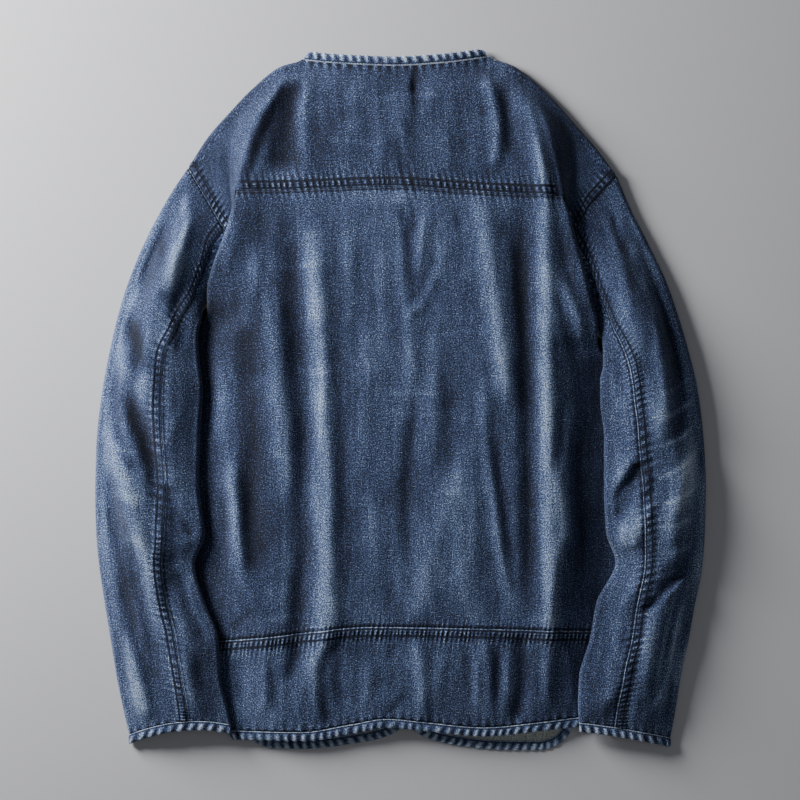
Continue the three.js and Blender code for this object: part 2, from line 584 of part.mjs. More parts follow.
function backHemStrip() {
  const width = leftEdge(-350).x + rightEdge(-350).x;
  const columns = Math.round((width / ROPE_PITCH) * ROPE_COLUMNS_PER_PITCH);
  const stations = backStations(columns);
  const profile = [...STRIP_PROFILE].reverse();
  const grid = profile.map(({ out }) =>
    stations.map((s) => backPoint(s, (a) => backHemY(a) + STRIP_WIDTH * (1 - out))),
  );
  const rise = (i, j) => {
    const { out, round } = profile[i];
    const showing = stations[j] > 0 && stations[j] < 1;
    return showing ? round + ropeRise(stations[j] * width, out) : 0;
  };
  return wall(grid, { thickness: STRIP_WALL, rise });
}

// Yoke: a four-sided patch between the armholes, the lower edge and the neck and shoulders
const yokeCrossRidge = { left: track(LEFT_RIDGE, "y"), right: track(RIGHT_RIDGE, "y") };

function yokeHeight(x, y) {
  const left = yokeCrossRidge.left(y);
  const right = yokeCrossRidge.right(y);
  if (x < -left.x) return mix(left.low, left.top, fadeOut((-left.x - x) / left.flank));
  if (x > right.x) return mix(right.low, right.top, fadeOut((x - right.x) / right.flank));
  return crossHeight(x, y, left, right);
}

// Joins paths end to end as one, each given its own stretch of 0 to 1.
const chain = (parts) => (t) => {
  const part = parts.find(({ to }) => t <= to) ?? parts[parts.length - 1];
  const u = (t - part.from) / (part.to - part.from);
  return part.path(part.reverse ? 1 - u : u);
};

const armholeOf = {
  left: pathOf(mirrored(LEFT_ARMHOLE, -1)),
  right: pathOf(RIGHT_ARMHOLE),
};
// Share of each armhole that the yoke borders: from the shoulder to where its lower edge begins
const LEFT_ARM_SHOWN = armholeOf.left.shares[3];
const RIGHT_ARM_SHOWN = armholeOf.right.shares[4];

// Share of the yoke's width taken by each stretch of its lower and its upper edge
const LOWER_FROM = 0.15;
const LOWER_TO = 0.85;
const NECK_FROM = 0.34;
const NECK_TO = 0.68;

const seamPath = (across) => {
  const y = yokeSeamY(across);
  const [left, right] = [leftEdge(y), rightEdge(y)];
  return { x: mix(-left.x, right.x, across), y: y + SEAM_GAP / 2 };
};
const yokeLower = chain([
  { from: 0, to: LOWER_FROM, path: pathOf(mirrored(LEFT_YOKE_END, -1)) },
  { from: LOWER_FROM, to: LOWER_TO, path: seamPath },
  { from: LOWER_TO, to: 1, path: pathOf(RIGHT_YOKE_END), reverse: true },
]);
const backNeck = pathOf(BACK_NECK);
const neckInset = (t) => beside(backNeck, t, -(STRIP_WIDTH + SEAM_GAP));
const yokeUpper = chain([
  { from: 0, to: NECK_FROM, path: pathOf(mirrored(LEFT_SHOULDER, -1)) },
  { from: NECK_FROM, to: NECK_TO, path: neckInset },
  { from: NECK_TO, to: 1, path: pathOf(RIGHT_SHOULDER), reverse: true },
]);
// The shoulder's turn: heights, width and how far it runs back underneath
const SHOULDER = { top: 9.5, under: 0, turn: 4.5, tuck: 9 };
const TURN_FADE = 0.07;
const turnShare = (u) =>
  u < 0.5 ? smooth((NECK_FROM - u) / TURN_FADE) : smooth((u - NECK_TO) / TURN_FADE);

// Columns across the yoke: close together at the armholes, where the seam's strip stands up
const YOKE_COLUMNS = [
  0, 0.02, 0.045, 0.075, 0.11, 0.135, 0.15, 0.165, 0.19,
  ...span(22).map((t) => mix(0.22, 0.78, t)),
  0.81, 0.835, 0.85, 0.865, 0.89, 0.925, 0.955, 0.98, 1,
];
// Rows up the yoke below its turned edge, as shares of the way
const YOKE_ROWS = [0, 0.3, 0.45, 0.6, 0.75, 0.9, 1];

// Rows of its edge: how far in each lies at the neck, and how far round the turn it lies at the shoulder
const YOKE_EDGE = [
  { in: 7, past: 0 },
  { in: 5, past: 0.14 },
  { in: 3, past: 0.3 },
  { in: 1.5, past: 0.5 },
  { in: 0.7, past: 1 },
  { in: 0, past: 2 },
];
// Shares of the half width over which the armhole's bow and the gap beside it die out
const BOW_SHARE = 0.6;
const GAP_SHARE = 0.02;

function yokeColumn(u) {
  const [low, high] = [yokeLower(u), yokeUpper(u)];
  const leftSide = u < 0.5;
  const arm = leftSide ? armholeOf.left : armholeOf.right;
  const shown = leftSide ? LEFT_ARM_SHOWN : RIGHT_ARM_SHOWN;
  const sideShare = leftSide ? u / 0.5 : (1 - u) / 0.5;
  // Side columns bow with the armhole, and the bow dies out towards the middle
  const bow = fadeOut(sideShare / BOW_SHARE);
  const place = (v) => {
    const seam = arm(mix(shown, 0, v));
    const [foot, head] = [arm(shown), arm(0)];
    return {
      x: mix(low.x, high.x, v) + bow * (seam.x - mix(foot.x, head.x, v)),
      y: mix(low.y, high.y, v) + bow * (seam.y - mix(foot.y, head.y, v)),
    };
  };
  const turned = turnShare(u);
  const length = Math.hypot(high.x - low.x, high.y - low.y);
  const edgeZ = mix(high.z ?? SHOULDER.top, SHOULDER.top, turned);
  const bandWidth = SHOULDER.turn + YOKE_EDGE[0].in;
  const bandShare = bandWidth / length;
  const gap = Math.max(0, 1 - sideShare / GAP_SHARE) * 2.5 * SEAM_GAP * (leftSide ? 1 : -1);
  const inward = place(1 - bandShare);
  const direction = new THREE.Vector2(inward.x - high.x, inward.y - high.y).normalize();
  const heightAt = (x, y, v) => mix(edgeZ, yokeHeight(x, y), smooth(((1 - v) * length) / YOKE_EDGE_CALM));
  const points = [];
  const lapFalls = [0, LAP_WIDTH, LAP_WIDTH + LAP_SLOPE].map((d) => d / length);
  const belowBand = YOKE_ROWS.slice(1).map((t) => mix(lapFalls[2], 1 - bandShare, t));
  for (const v of [...lapFalls, ...belowBand]) {
    const { x, y } = place(v);
    points.push({ x: x + gap, y, z: heightAt(x, y, v), fromSeam: v * length });
  }
  for (const station of YOKE_EDGE) {
    const angle = Math.PI * Math.min(1, station.past);
    const tucked = Math.max(0, station.past - 1) * SHOULDER.tuck;
    const roundIn = SHOULDER.turn * (1 - Math.sin(angle)) + tucked;
    const inBy = mix(station.in, roundIn, turned);
    const flatZ = heightAt(high.x, high.y, 1 - station.in / length);
    const roundZ = mix(SHOULDER.under, SHOULDER.top, (1 + Math.cos(angle)) / 2);
    points.push({
      x: high.x + direction.x * inBy + gap,
      y: high.y + direction.y * inBy,
      z: mix(flatZ, roundZ, turned),
      fromSeam: length,
    });
  }
  return points;
}

function backYoke() {
  const columns = YOKE_COLUMNS.map(yokeColumn);
  const grid = columns[0].map((_, i) =>
    columns.map((column) => new THREE.Vector3(column[i].x, column[i].y, column[i].z)),
  );
  const last = YOKE_COLUMNS.length - 1;
  const rise = (i, j) => {
    if (i > columns[0].length - YOKE_EDGE.length + 1) return 0;
    const side = Math.min(grid[i][j].distanceTo(grid[i][0]), grid[i][j].distanceTo(grid[i][last]));
    const onSeam = YOKE_COLUMNS[j] > LOWER_FROM - 0.01 && YOKE_COLUMNS[j] < LOWER_TO + 0.01;
    return Math.max(lapShare(side), onSeam ? lapShare(columns[j][i].fromSeam) : 0);
  };
  return wall(grid, { rise });
}

function neckStrip() {
  const columns = Math.round((backNeck.total / ROPE_PITCH) * ROPE_COLUMNS_PER_PITCH);
  const grid = STRIP_PROFILE.map(({ out }) =>
    span(columns).map((t) => {
      const p = beside(backNeck, t, -STRIP_WIDTH * (1 - out));
      return new THREE.Vector3(p.x, p.y, p.z);
    }),
  );
  const rise = (i, j) => {
    const { out, round } = STRIP_PROFILE[i];
    return round + ropeRise((j / columns) * backNeck.total, out);
  };
  return wall(grid, { thickness: STRIP_WALL, rise });
}

// Share of a ring's part taken by the turn at each fold, and shares of the width and of the sleeve's
// length over which its folds die out
const TURN = 0.1;
const SIDE_CALM = 0.12;
const HEAD_CALM = 0.08;

// Sleeves are built with the outer fold towards -X, and the right one is then mirrored.
function sleeveRing(table, armhole, cuffBow, folds) {
  const rows = table.map((row, i) => ({ ...row, ring: i / (table.length - 1) }));
  const at = track(rows, "ring");
  const arm = pathOf(mirrored(armhole, -1));
  const [head, foot] = [arm(0), arm(1)];
  // The plan of a ring at the share u from its outer to its inner fold
  const plan = (ring, row, u) => {
    const seam = arm(u);
    const atCuff = cuffBow * smooth((ring - 0.7) / 0.3) * 4 * u * (1 - u);
    return {
      x: mix(-row.ox, -row.ix, u) + row.bow * (seam.x - mix(head.x, foot.x, u)),
      y: mix(row.oy, row.iy, u) + row.bow * (seam.y - mix(head.y, foot.y, u)) + atCuff,
    };
  };
  const underZ = (row, u) => row.lift * smooth((u - (1 - LIFT_FADE)) / (LIFT_FADE * 0.8));
  // part -1 to 0 is the underside from the inner to the outer fold, 0 to 1 the top from outer to inner
  return (ring, part) => {
    const row = at(ring);
    const width = Math.hypot(row.ox - row.ix, row.oy - row.iy);
    const outerTurn = Math.min(6, row.z0 * 0.55) / width;
    const innerTurn = Math.min(5.5, (row.z3 - row.lift) * 0.5) / width;
    const heights = track(
      [
        { u: 0, z: row.z0 },
        { u: 0.33, z: row.z1 },
        { u: 0.67, z: row.z2 },
        { u: 1, z: row.z3 },
      ],
      "u",
    );
    const onTop = part >= 0;
    const p = Math.abs(part);
    let u = p;
    let z = 0;
    if (p < TURN) {
      const angle = (Math.PI / 2) * (1 - p / TURN);
      u = outerTurn * (1 - Math.sin(angle));
      z = (row.z0 / 2) * (1 + (onTop ? 1 : -1) * Math.cos(angle));
    } else if (p > 1 - TURN) {
      const angle = (Math.PI / 2) * (1 - (1 - p) / TURN);
      const middle = (row.z3 + row.lift) / 2;
      u = 1 - innerTurn * (1 - Math.sin(angle));
      z = middle + (onTop ? 1 : -1) * (middle - row.lift) * Math.cos(angle);
    } else {
      const t = (p - TURN) / (1 - 2 * TURN);
      u = mix(outerTurn, 1 - innerTurn, t);
      const place = plan(ring, row, u);
      const calm = smooth(t / SIDE_CALM) * smooth((1 - t) / SIDE_CALM) * smooth(ring / HEAD_CALM);
      z = onTop ? heights(t).z + calm * foldHeight(folds, -place.x, place.y) : underZ(row, t);
    }
    const { x, y } = plan(ring, row, u);
    return new THREE.Vector3(x, y, z);
  };
}

// The share part of the ring whose top lies at the share u of the width
const partOf = (u) => mix(TURN, 1 - TURN, u);

function sleeve(table, armhole, cuffBow, folds, mirror) {
  const at = sleeveRing(table, armhole, cuffBow, folds);
  const seamRows = table.map((row, i) => ({ ring: i / (table.length - 1), seam: row.seam }));
  const seamShare = track(seamRows, "ring");
  const rings = span(SLEEVE_RINGS).map((t) => 1 - t);
  const gapShare = SLEEVE_SEAM_CLEARANCE / SLEEVE_SEAM_LENGTH;
  const lapIn = (LAP_WIDTH + LAP_SLOPE) / SLEEVE_SEAM_LENGTH;
  const lapFlat = (LAP_WIDTH - 1.5) / SLEEVE_SEAM_LENGTH;
  const [outerTurn, innerTurn] = [[TURN, 0.06, 0.03, 0], [1, 0.97, 0.94, 1 - TURN]];
  const topGrid = rings.map((ring) => {
    const seam = partOf(seamShare(ring).seam) - gapShare;
    const under = -(partOf(UNDER_SEAM) - gapShare);
    const parts = [
      ...span(4).slice(0, -1).map((t) => mix(under, -TURN, t)),
      ...outerTurn.map((p) => -p),
      ...outerTurn.slice(0, 3).reverse(),
      ...span(4).slice(1, -1).map((t) => mix(TURN, seam - lapIn, t)),
      seam - lapIn,
      seam - lapFlat,
      seam,
    ];
    return parts.map((part) => at(ring, part));
  });
  const lastColumns = topGrid[0].length - 2;
  const topRise = (i, j) => (j >= lastColumns ? LAP_RISE : 0);
  const underGrid = rings.map((ring) => {
    const seam = partOf(seamShare(ring).seam) + gapShare;
    const under = -(partOf(UNDER_SEAM) + gapShare);
    const parts = [
      seam,
      mix(seam, 1 - TURN, 0.5),
      ...[...innerTurn].reverse(),
      ...innerTurn.slice(1).map((p) => -p),
      ...span(3).slice(1).map((t) => mix(TURN - 1, under, t)),
    ];
    return parts.map((part) => at(ring, part));
  });
  const ropeColumns = Math.round((SLEEVE_TOP_LENGTH / ROPE_PITCH) * ROPE_COLUMNS_PER_PITCH);
  const plainColumns = 16;
  const cuffParts = [
    ...span(plainColumns).map((t) => mix(-1, 0, t)),
    ...span(ropeColumns).slice(1, -1),
  ];
  const cuffAt = (out) => (part) => {
    const p = at(1, part);
    return new THREE.Vector3(p.x, p.y - 2 * SEAM_GAP - STRIP_WIDTH * out, p.z);
  };
  const profile = [...STRIP_PROFILE].reverse();
  const cuffGrid = profile.map(({ out }) => cuffParts.map(cuffAt(out)));
  const cuffRise = (i, j) => {
    const { out, round } = profile[i];
    const onTop = smooth((cuffParts[j] - 0.08) / 0.04) * smooth((0.92 - cuffParts[j]) / 0.04);
    return onTop * (round + ropeRise(cuffParts[j] * SLEEVE_TOP_LENGTH, out));
  };
  const turnedRise = (rise, grid) => (mirror ? (i, j) => rise(i, grid[0].length - 1 - j) : rise);
  const sided = (grid) => (mirror ? mirrorGrid(grid) : grid);
  return {
    top: wall(sided(topGrid), { rise: turnedRise(topRise, topGrid) }),
    under: wall(sided(underGrid)),
    cuff: wall(sided(cuffGrid), {
      thickness: STRIP_WALL,
      wrap: true,
      rise: turnedRise(cuffRise, cuffGrid),
    }),
  };
}

// Fronts: flat on the surface, inside the back's tucks and the sleeves' undersides. At the underarm each
// reaches out past the armhole's end, under the sleeve's lifted fold.
const UNDERARM_CORNER = [
  { out: -8, down: 12.5 },
  { out: 5, down: 11.5 },
  { out: 5, down: 8 },
  { out: -3, down: 1.5 },
];

// The fronts' ropes are pressed flatter than the back's
const FRONT_ROPE = 0.6;

function frontParts(sign, edgeRows, shoulderRows, armholeRows) {
  const edge = pathOf(edgeRows);
  const neckTurn = edge.shares[NECK_TURN_ROW];
  const hemTurn = edge.shares[HEM_TURN_ROW];
  const inset = sign * (STRIP_WIDTH + 1.5 * SEAM_GAP);
  const stops = [
    ...span(12).map((t) => mix(0, neckTurn - 0.02, t)),
    ...span(6).slice(1).map((t) => mix(neckTurn - 0.02, neckTurn + 0.02, t)),
    ...span(4).slice(1).map((t) => mix(neckTurn + 0.02, hemTurn - 0.03, t)),
    ...span(7).slice(1).map((t) => mix(hemTurn - 0.03, hemTurn + 0.03, t)),
    ...span(48).slice(1).map((t) => mix(hemTurn + 0.03, 1, t)),
  ];
  const seam = (t) => beside(edge, t, inset);
  const shoulder = pathOf(mirrored(shoulderRows, sign));
  const arm = pathOf(mirrored(armholeRows, sign));
  const tuckEnd = SHOULDER.turn + SHOULDER.tuck + 2 * SEAM_GAP;
  const armTop = tuckEnd / arm.total + 0.03;
  const shoulderLine = (t) => beside(shoulder, t, sign * tuckEnd);
  const armLine = (t) => beside(arm, t, -sign * ARMHOLE_CLEARANCE);
  const underarm = armholeRows[armholeRows.length - 1];
  const gusset = UNDERARM_CORNER.map(({ out, down }) => ({
    x: sign * (underarm.x + out),
    y: underarm.y - down,
  }));
  const hemCorner = seam(1);
  const side = [...bandGrid, ...bodyGrid]
    .map((row) => (sign < 0 ? row[0] : row[row.length - 1]))
    .filter(({ y }) => y > hemCorner.y + 4 && y < gusset[0].y - 3)
    .map(({ x, y }) => ({ x: x - sign * 2 * SEAM_GAP, y }));
  const outline = [
    ...stops.map(seam),
    ...side,
    ...gusset,
    ...span(8).map((t) => armLine(mix(0.96, armTop, t))),
    ...span(10).map((t) => shoulderLine(mix(0.06, 0.86, t))),
  ];
  const shape = new THREE.Shape(outline.map((p) => new THREE.Vector2(p.x, p.y)));
  const panel = new THREE.ExtrudeGeometry(shape, { depth: CLOTH, bevelEnabled: false });
  const profile = sign < 0 ? STRIP_PROFILE : [...STRIP_PROFILE].reverse();
  const grid = profile.map(({ out }) =>
    stops.map((t) => {
      const p = beside(edge, t, sign * STRIP_WIDTH * (1 - out));
      return new THREE.Vector3(p.x, p.y, STRIP_WALL);
    }),
  );
  const rise = (i, j) => {
    const { out, round } = profile[i];
    const rope = ROPE_RISE + ropeRise(stops[j] * edge.total, out);
    return out > 0 ? Math.max(0, round) + FRONT_ROPE * rope : 0;
  };
  return { panel, strip: wall(grid, { thickness: STRIP_WALL, rise }) };
}

// The jacket
const jacket = new THREE.Group();
jacket.name = "collarless_denim_jacket";
jacket.position.set(-MIDDLE.x, -MIDDLE.y, 0);

function addPiece(name, geometry, finish) {
  const mesh = new THREE.Mesh(geometry, new THREE.MeshStandardMaterial(finish));
  mesh.name = name;
  jacket.add(mesh);
}

addPiece("back_yoke", backYoke(), DENIM);
addPiece("back_body", wall(bodyGrid), DENIM);
addPiece("back_hem_band", wall(bandGrid, { rise: bandRise }), DENIM);
addPiece("back_hem_strip", backHemStrip(), STRIP_DENIM);
addPiece("neck_strip", neckStrip(), STRIP_DENIM);

const leftSleeve = sleeve(LEFT_SLEEVE, LEFT_ARMHOLE, LEFT_CUFF_BOW, LEFT_SLEEVE_FOLDS, false);
const rightSleeve = sleeve(RIGHT_SLEEVE, RIGHT_ARMHOLE, RIGHT_CUFF_BOW, RIGHT_SLEEVE_FOLDS, true);
for (const [side, made] of [["left", leftSleeve], ["right", rightSleeve]]) {
  addPiece(`sleeve_top_${side}`, made.top, DENIM);
  addPiece(`sleeve_under_${side}`, made.under, DENIM_DARK);
  addPiece(`cuff_strip_${side}`, made.cuff, STRIP_DENIM);
}

const leftFront = frontParts(-1, LEFT_FRONT_EDGE, LEFT_SHOULDER, LEFT_ARMHOLE);
const rightFront = frontParts(1, RIGHT_FRONT_EDGE, RIGHT_SHOULDER, RIGHT_ARMHOLE);
for (const [side, made] of [["left", leftFront], ["right", rightFront]]) {
  addPiece(`front_${side}`, made.panel, DENIM);
  addPiece(`front_strip_${side}`, made.strip, STRIP_DENIM);
}

export default jacket;
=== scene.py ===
# %% [markdown]
# # A collarless denim jacket, laid on its front
#
# The jacket lies face down on a flat surface, so what shows is its back: a yoke, the back panel, a deep
# hem band and the two sleeves folded flat beside it. The frame that was cut before is loaded first. Every
# panel is then made again as a thinner and finer shell on the very same sections, with the small creases,
# the puckers along the seams and the thread. All tables are in millimetres, in the frame's own directions:
# X across, Y towards the neck and Z up out of the surface.

import math

import bmesh
import bpy
import numpy as np
from mathutils import Matrix, Vector
from mathutils.bvhtree import BVHTree


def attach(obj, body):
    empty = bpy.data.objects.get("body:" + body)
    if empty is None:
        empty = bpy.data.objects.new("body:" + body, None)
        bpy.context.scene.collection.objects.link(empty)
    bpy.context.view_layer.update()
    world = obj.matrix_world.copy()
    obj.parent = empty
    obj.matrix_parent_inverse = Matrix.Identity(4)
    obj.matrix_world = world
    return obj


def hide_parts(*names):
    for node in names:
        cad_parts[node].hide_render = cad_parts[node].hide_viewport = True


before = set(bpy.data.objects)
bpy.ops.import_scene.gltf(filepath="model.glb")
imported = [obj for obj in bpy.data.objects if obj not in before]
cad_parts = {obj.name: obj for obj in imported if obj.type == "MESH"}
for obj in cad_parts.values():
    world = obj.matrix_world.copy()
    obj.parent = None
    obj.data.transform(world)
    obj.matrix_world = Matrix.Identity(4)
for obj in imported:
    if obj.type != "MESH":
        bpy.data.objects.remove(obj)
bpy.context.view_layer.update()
print("frame nodes:", len(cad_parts))

# %% [markdown]
# ## Sizes
#
# The sewing sizes come first: how thick the cloth is, how wide a lapped seam and a turned edge are, and how
# far apart the puckers stand. A lapped seam has two rows of stitches, one close to the edge and one where
# the layers underneath end.

# %% Cloth and sewing sizes, in millimetres
# Where the frame's own X 0 and Y 0 lie in the tables
MIDDLE = (-1.02, 0.25)
CLOTH = 1.1
FRONT_CLOTH = 1.6
SEAM_GAP = 0.3
LAP_WIDTH = 10
LAP_RISE = 0.9
LAP_SLOPE = 2.5
# Distances of the two rows of stitches from the edge of a lap
LAP_ROWS = (1.5, 9)
STRIP_WIDTH = 10
STRIP_WALL = 1.7
# The row of stitches on a turned edge, as a share of its width
STRIP_ROW = 0.1
ROPE_PITCH = 9.6
ROPE_RISE = 0.55
ROPE_SLANT = 2.1
ARMHOLE_CLEARANCE = 2
EDGE_CALM = 16
YOKE_EDGE_CALM = 34
# Share of a fold's length over which it dies out, and share of a sleeve's ring that is its rounded fold
FOLD_END = 0.18
CREASE_END = 0.35
TURN = 0.1
SIDE_CALM = 0.12
HEAD_CALM = 0.08
LIFT_FADE = 0.36
UNDER_SEAM = 0.5
LEFT_CUFF_BOW = 9
RIGHT_CUFF_BOW = 2
NECK_TURN_ROW = 5
HEM_TURN_ROW = 11
STITCH_PITCH = 3.1
STITCH_LENGTH = 2.5
THREAD_RADIUS = 0.3
# Spacing of the puckers along each seam, how high they stand, and how far they reach past the lap
YOKE_PUCKER = 6.4
BAND_PUCKER = 4.6
SLEEVE_PUCKER = 7.4
BODY_PUCKER_RISE = 0.75
PUCKER_RISE = 0.8
PUCKER_PAST_ROW = 6.5
PUCKER_PAST_EDGE = 5.5
GROOVE_WIDTH = 0.9

# %% [markdown]
# ## Tables
#
# These are the same sections as the frame's: the back's two folded edges, the height of the cloth along the
# middle, the seam lines, the armholes and shoulders, and each sleeve as rings from armhole to cuff. A row is
# one section, and a smooth curve without overshoot joins the rows.


# %% Tables of sections
def table(columns, rows):
    """Named columns over rows, one row for each section, fold or point."""
    names = columns.split()
    return {name: np.array([float(row[i]) for row in rows]) for i, name in enumerate(names)}


LEFT_EDGE = table("y x top under turn tuck reach", (
    (-360, 177, 8, 0, 3, 2, 60), (-335, 189, 7.5, 0, 3, 6, 60), (-300, 199, 7, 0, 3, 10, 60),
    (-250, 203, 7, 0, 3, 10, 62), (-215, 217, 7, 0, 3, 10, 64), (-170, 226, 7, 0, 3, 10, 64),
    (-120, 221, 7, 0, 3, 10, 62), (-60, 225, 7, 0, 3, 10, 62), (0, 219, 7, 0, 3, 11, 58),
    (60, 220, 7, 0, 3, 8, 56), (76, 214, 7.6, 0, 3, 3, 54), (83, 208.6, 8.4, 0.4, 3.2, 1.5, 54),
    (90, 205, 11, 3, 3.5, 1.5, 50), (98, 204, 16, 7, 4, 2, 46), (112, 204, 21, 10.5, 4.5, 4, 42),
    (136, 199, 24, 12.5, 5, 9, 40), (173, 185.5, 26, 12.5, 5, 10, 40),
    (197, 178, 26, 14, 4.5, 7, 40), (209, 174.6, 25, 18, 3, 3, 40),
    (218, 172, 24, 20.5, 1.6, 1.5, 40),
))
RIGHT_EDGE = table("y x top under turn tuck reach", (
    (-360, 190, 8, 0, 3, 2, 60), (-335, 193, 7.5, 0, 3, 6, 60), (-300, 199, 7, 0, 3, 10, 60),
    (-245, 208, 7, 0, 3, 10, 62), (-205, 219, 7, 0, 3, 10, 64), (-165, 229, 7, 0, 3, 10, 66),
    (-120, 225, 7, 0, 3, 10, 66), (-70, 224, 7, 0, 3, 10, 66), (-20, 222, 7, 0, 3, 9, 64),
    (28, 220, 7, 0, 3, 5, 62), (45, 215, 7.6, 0, 3, 2, 58), (52, 209.6, 8.4, 0.4, 3.2, 1.5, 54),
    (59, 206.4, 11, 3, 3.5, 1.5, 50), (67, 206, 16, 7, 4, 2, 46), (82, 205, 21, 10.5, 4.5, 4, 42),
    (104, 200, 24, 12.5, 5, 9, 40), (136, 192, 25, 12.5, 5, 10, 40),
    (167, 183, 25, 12.5, 5, 10, 40), (192, 177, 25, 14, 4.5, 7, 40), (204, 172.6, 24, 17, 3, 3, 40),
    (213, 169, 23, 19.5, 1.6, 1.5, 40),
))
LEFT_RIDGE = table("y x top reach flank low", (
    (165, 172, 12, 40, 10, 10.5), (190, 172, 14, 40, 8, 10.5), (204, 171, 20, 40, 8, 11),
    (218, 170.4, 24, 40, 10, 11), (262, 160, 25, 38, 24, 11.5), (325, 138, 21, 36, 38, 11),
    (370, 118, 15, 34, 38, 9),
))
RIGHT_RIDGE = table("y x top reach flank low", (
    (160, 168, 12, 40, 10, 10.5), (186, 168, 14, 40, 8, 10.5), (200, 168, 19, 40, 8, 11),
    (213, 167.4, 23, 40, 10, 11), (262, 156, 25, 36, 26, 10.5), (325, 136, 21, 34, 34, 10.5),
    (370, 112, 15, 32, 34, 9),
))
CROWN = table("y z", (
    (-360, 12.6), (-330, 15), (-250, 20), (-100, 23), (100, 23), (218, 21), (280, 19), (355, 14.5),
))
YOKE_SEAM = table("across y", (
    (0, 218), (0.16, 219), (0.47, 222.5), (0.73, 217), (1, 212.5),
))
BAND_SEAM = table("across y", (
    (0, -255), (0.17, -248), (0.42, -238), (0.6, -239), (0.8, -241), (1, -244),
))
BACK_HEM = table("across y", (
    (0, -358), (0.2, -359), (0.35, -351), (0.45, -345), (0.57, -349), (0.72, -354), (0.9, -348),
    (1, -344),
))
BACK_FOLDS = table("from to top middle bottom width lift", (
    (212, -345, -101, -73, -92, 13, 5.5), (218, -330, -120, -101, -118, 11, -4.5),
    (130, -120, -136, -128, -116, 13, 3.5), (110, -215, -165, -158, -150, 13, -3.5),
    (-60, -215, -178, -170, -160, 9, 3), (340, 232, -112, -116, -118, 14, -4),
    (345, -20, -2, 4, 14, 9, 1.8), (170, 80, 44, 32, 6, 8, 1.8), (230, -20, 80, 98, 112, 13, 4.5),
    (40, -235, 82, 98, 114, 9, 3.2), (225, -245, 124, 132, 133, 9, -4),
    (345, -330, 146, 153, 156, 10, 5), (345, 236, 84, 102, 98, 10, 3.2),
    (-60, -250, 55, 35, 8, 14, 2.4), (-246, -350, -64, -84, -70, 8, -2.6),
    (-246, -345, 14, 22, 20, 8, 2), (-240, -345, 84, 92, 94, 8, 2.2),
    (-240, -345, 122, 128, 116, 8, -3),
))
LEFT_ARMHOLE = table("x y", (
    (225, 243), (205, 209), (193, 188), (184, 171), (184, 157), (187, 143), (196, 120), (207.5, 99),
))
RIGHT_ARMHOLE = table("x y", (
    (227, 234), (213, 220), (200, 206), (189, 187), (179, 165), (180, 146), (188, 118), (200, 93),
    (209, 69),
))
LEFT_SHOULDER = table("x y", (
    (225, 243), (203, 277), (181, 302), (157, 327), (126, 351), (103.4, 358),
))
RIGHT_SHOULDER = table("x y", (
    (227, 234), (205, 264), (183, 289), (161, 314), (134, 339), (116, 352), (90.8, 361),
))
LEFT_YOKE_END = table("x y", (
    (184, 171), (178.6, 188), (177.7, 200), (175.8, 209), (173.4, 218.6),
))
RIGHT_YOKE_END = table("x y", (
    (179, 165), (177.2, 183), (177.4, 193.5), (174.2, 204), (170.6, 213.2),
))
BACK_NECK = table("x y z", (
    (-101, 367, 6.2), (-80, 364, 10), (-48, 361.5, 13.5), (-7, 360, 14.5), (36, 362.5, 13.5),
    (68, 366.5, 10), (88, 370, 6.2),
))
LEFT_FRONT_EDGE = table("x y", (
    (-97, 353), (-90, 325), (-68, 303), (-36, 291), (-14, 288), (-1, 281), (4.5, 269), (5.6, 254),
    (5.6, 120), (5.6, -120), (5.6, -322), (2, -342), (-12, -354), (-51, -363), (-103, -368.5),
    (-134, -368), (-151, -363.5), (-162, -355.5), (-167, -346), (-168, -336),
))
RIGHT_FRONT_EDGE = table("x y", (
    (84, 355), (80, 325), (64, 303), (40, 291), (26, 288), (13, 281), (7.4, 269), (6.2, 254),
    (6.2, 120), (6.2, -120), (6.2, -322), (10, -344), (24, -356), (60, -365), (105, -369.5),
    (144, -370), (161, -366), (173, -358), (179, -348), (181, -337),
))
LEFT_SLEEVE = table("ox oy ix iy bow seam z0 z1 z2 z3 lift", (
    (225, 243, 207.5, 99, 1, 0.46, 10, 11.5, 11, 8.5, 0.4),
    (240, 221, 208.4, 96.5, 0.78, 0.5, 10, 17, 12, 9.5, 1.5),
    (259, 188, 209, 91, 0.5, 0.66, 11, 24, 17, 13.5, 5.5),
    (277, 150, 210, 82, 0.28, 0.75, 12, 29, 24, 19, 10.2),
    (295, 100, 213, 66, 0.1, 0.74, 13, 32, 29, 21, 10.5),
    (307, 50, 212, 45, 0, 0.65, 14, 33, 31, 21, 10), (316, 0, 208, 8, 0, 0.62, 14, 32, 31, 21, 9.5),
    (321, -50, 211, -38, 0, 0.67, 14, 32, 31, 21, 9.5),
    (322, -100, 212, -88, 0, 0.71, 14, 32, 31, 21, 9.5),
    (321, -140, 206, -140, 0, 0.65, 14, 31, 31, 22, 9.5),
    (318, -174, 216.5, -173, 0, 0.69, 14, 30, 29, 20, 9.5),
    (312, -215, 206, -212, 0, 0.65, 13, 28, 28, 20, 9.5),
    (306, -252, 192, -250, 0, 0.62, 13, 27, 27, 20, 9.5),
    (299, -295, 189, -293, 0, 0.64, 12, 25, 25, 19, 9.5),
    (292, -329, 182, -324, 0, 0.61, 10, 21, 21, 18, 10),
    (287, -352, 179, -340, 0, 0.59, 8.5, 17, 17.5, 17, 10.5),
))
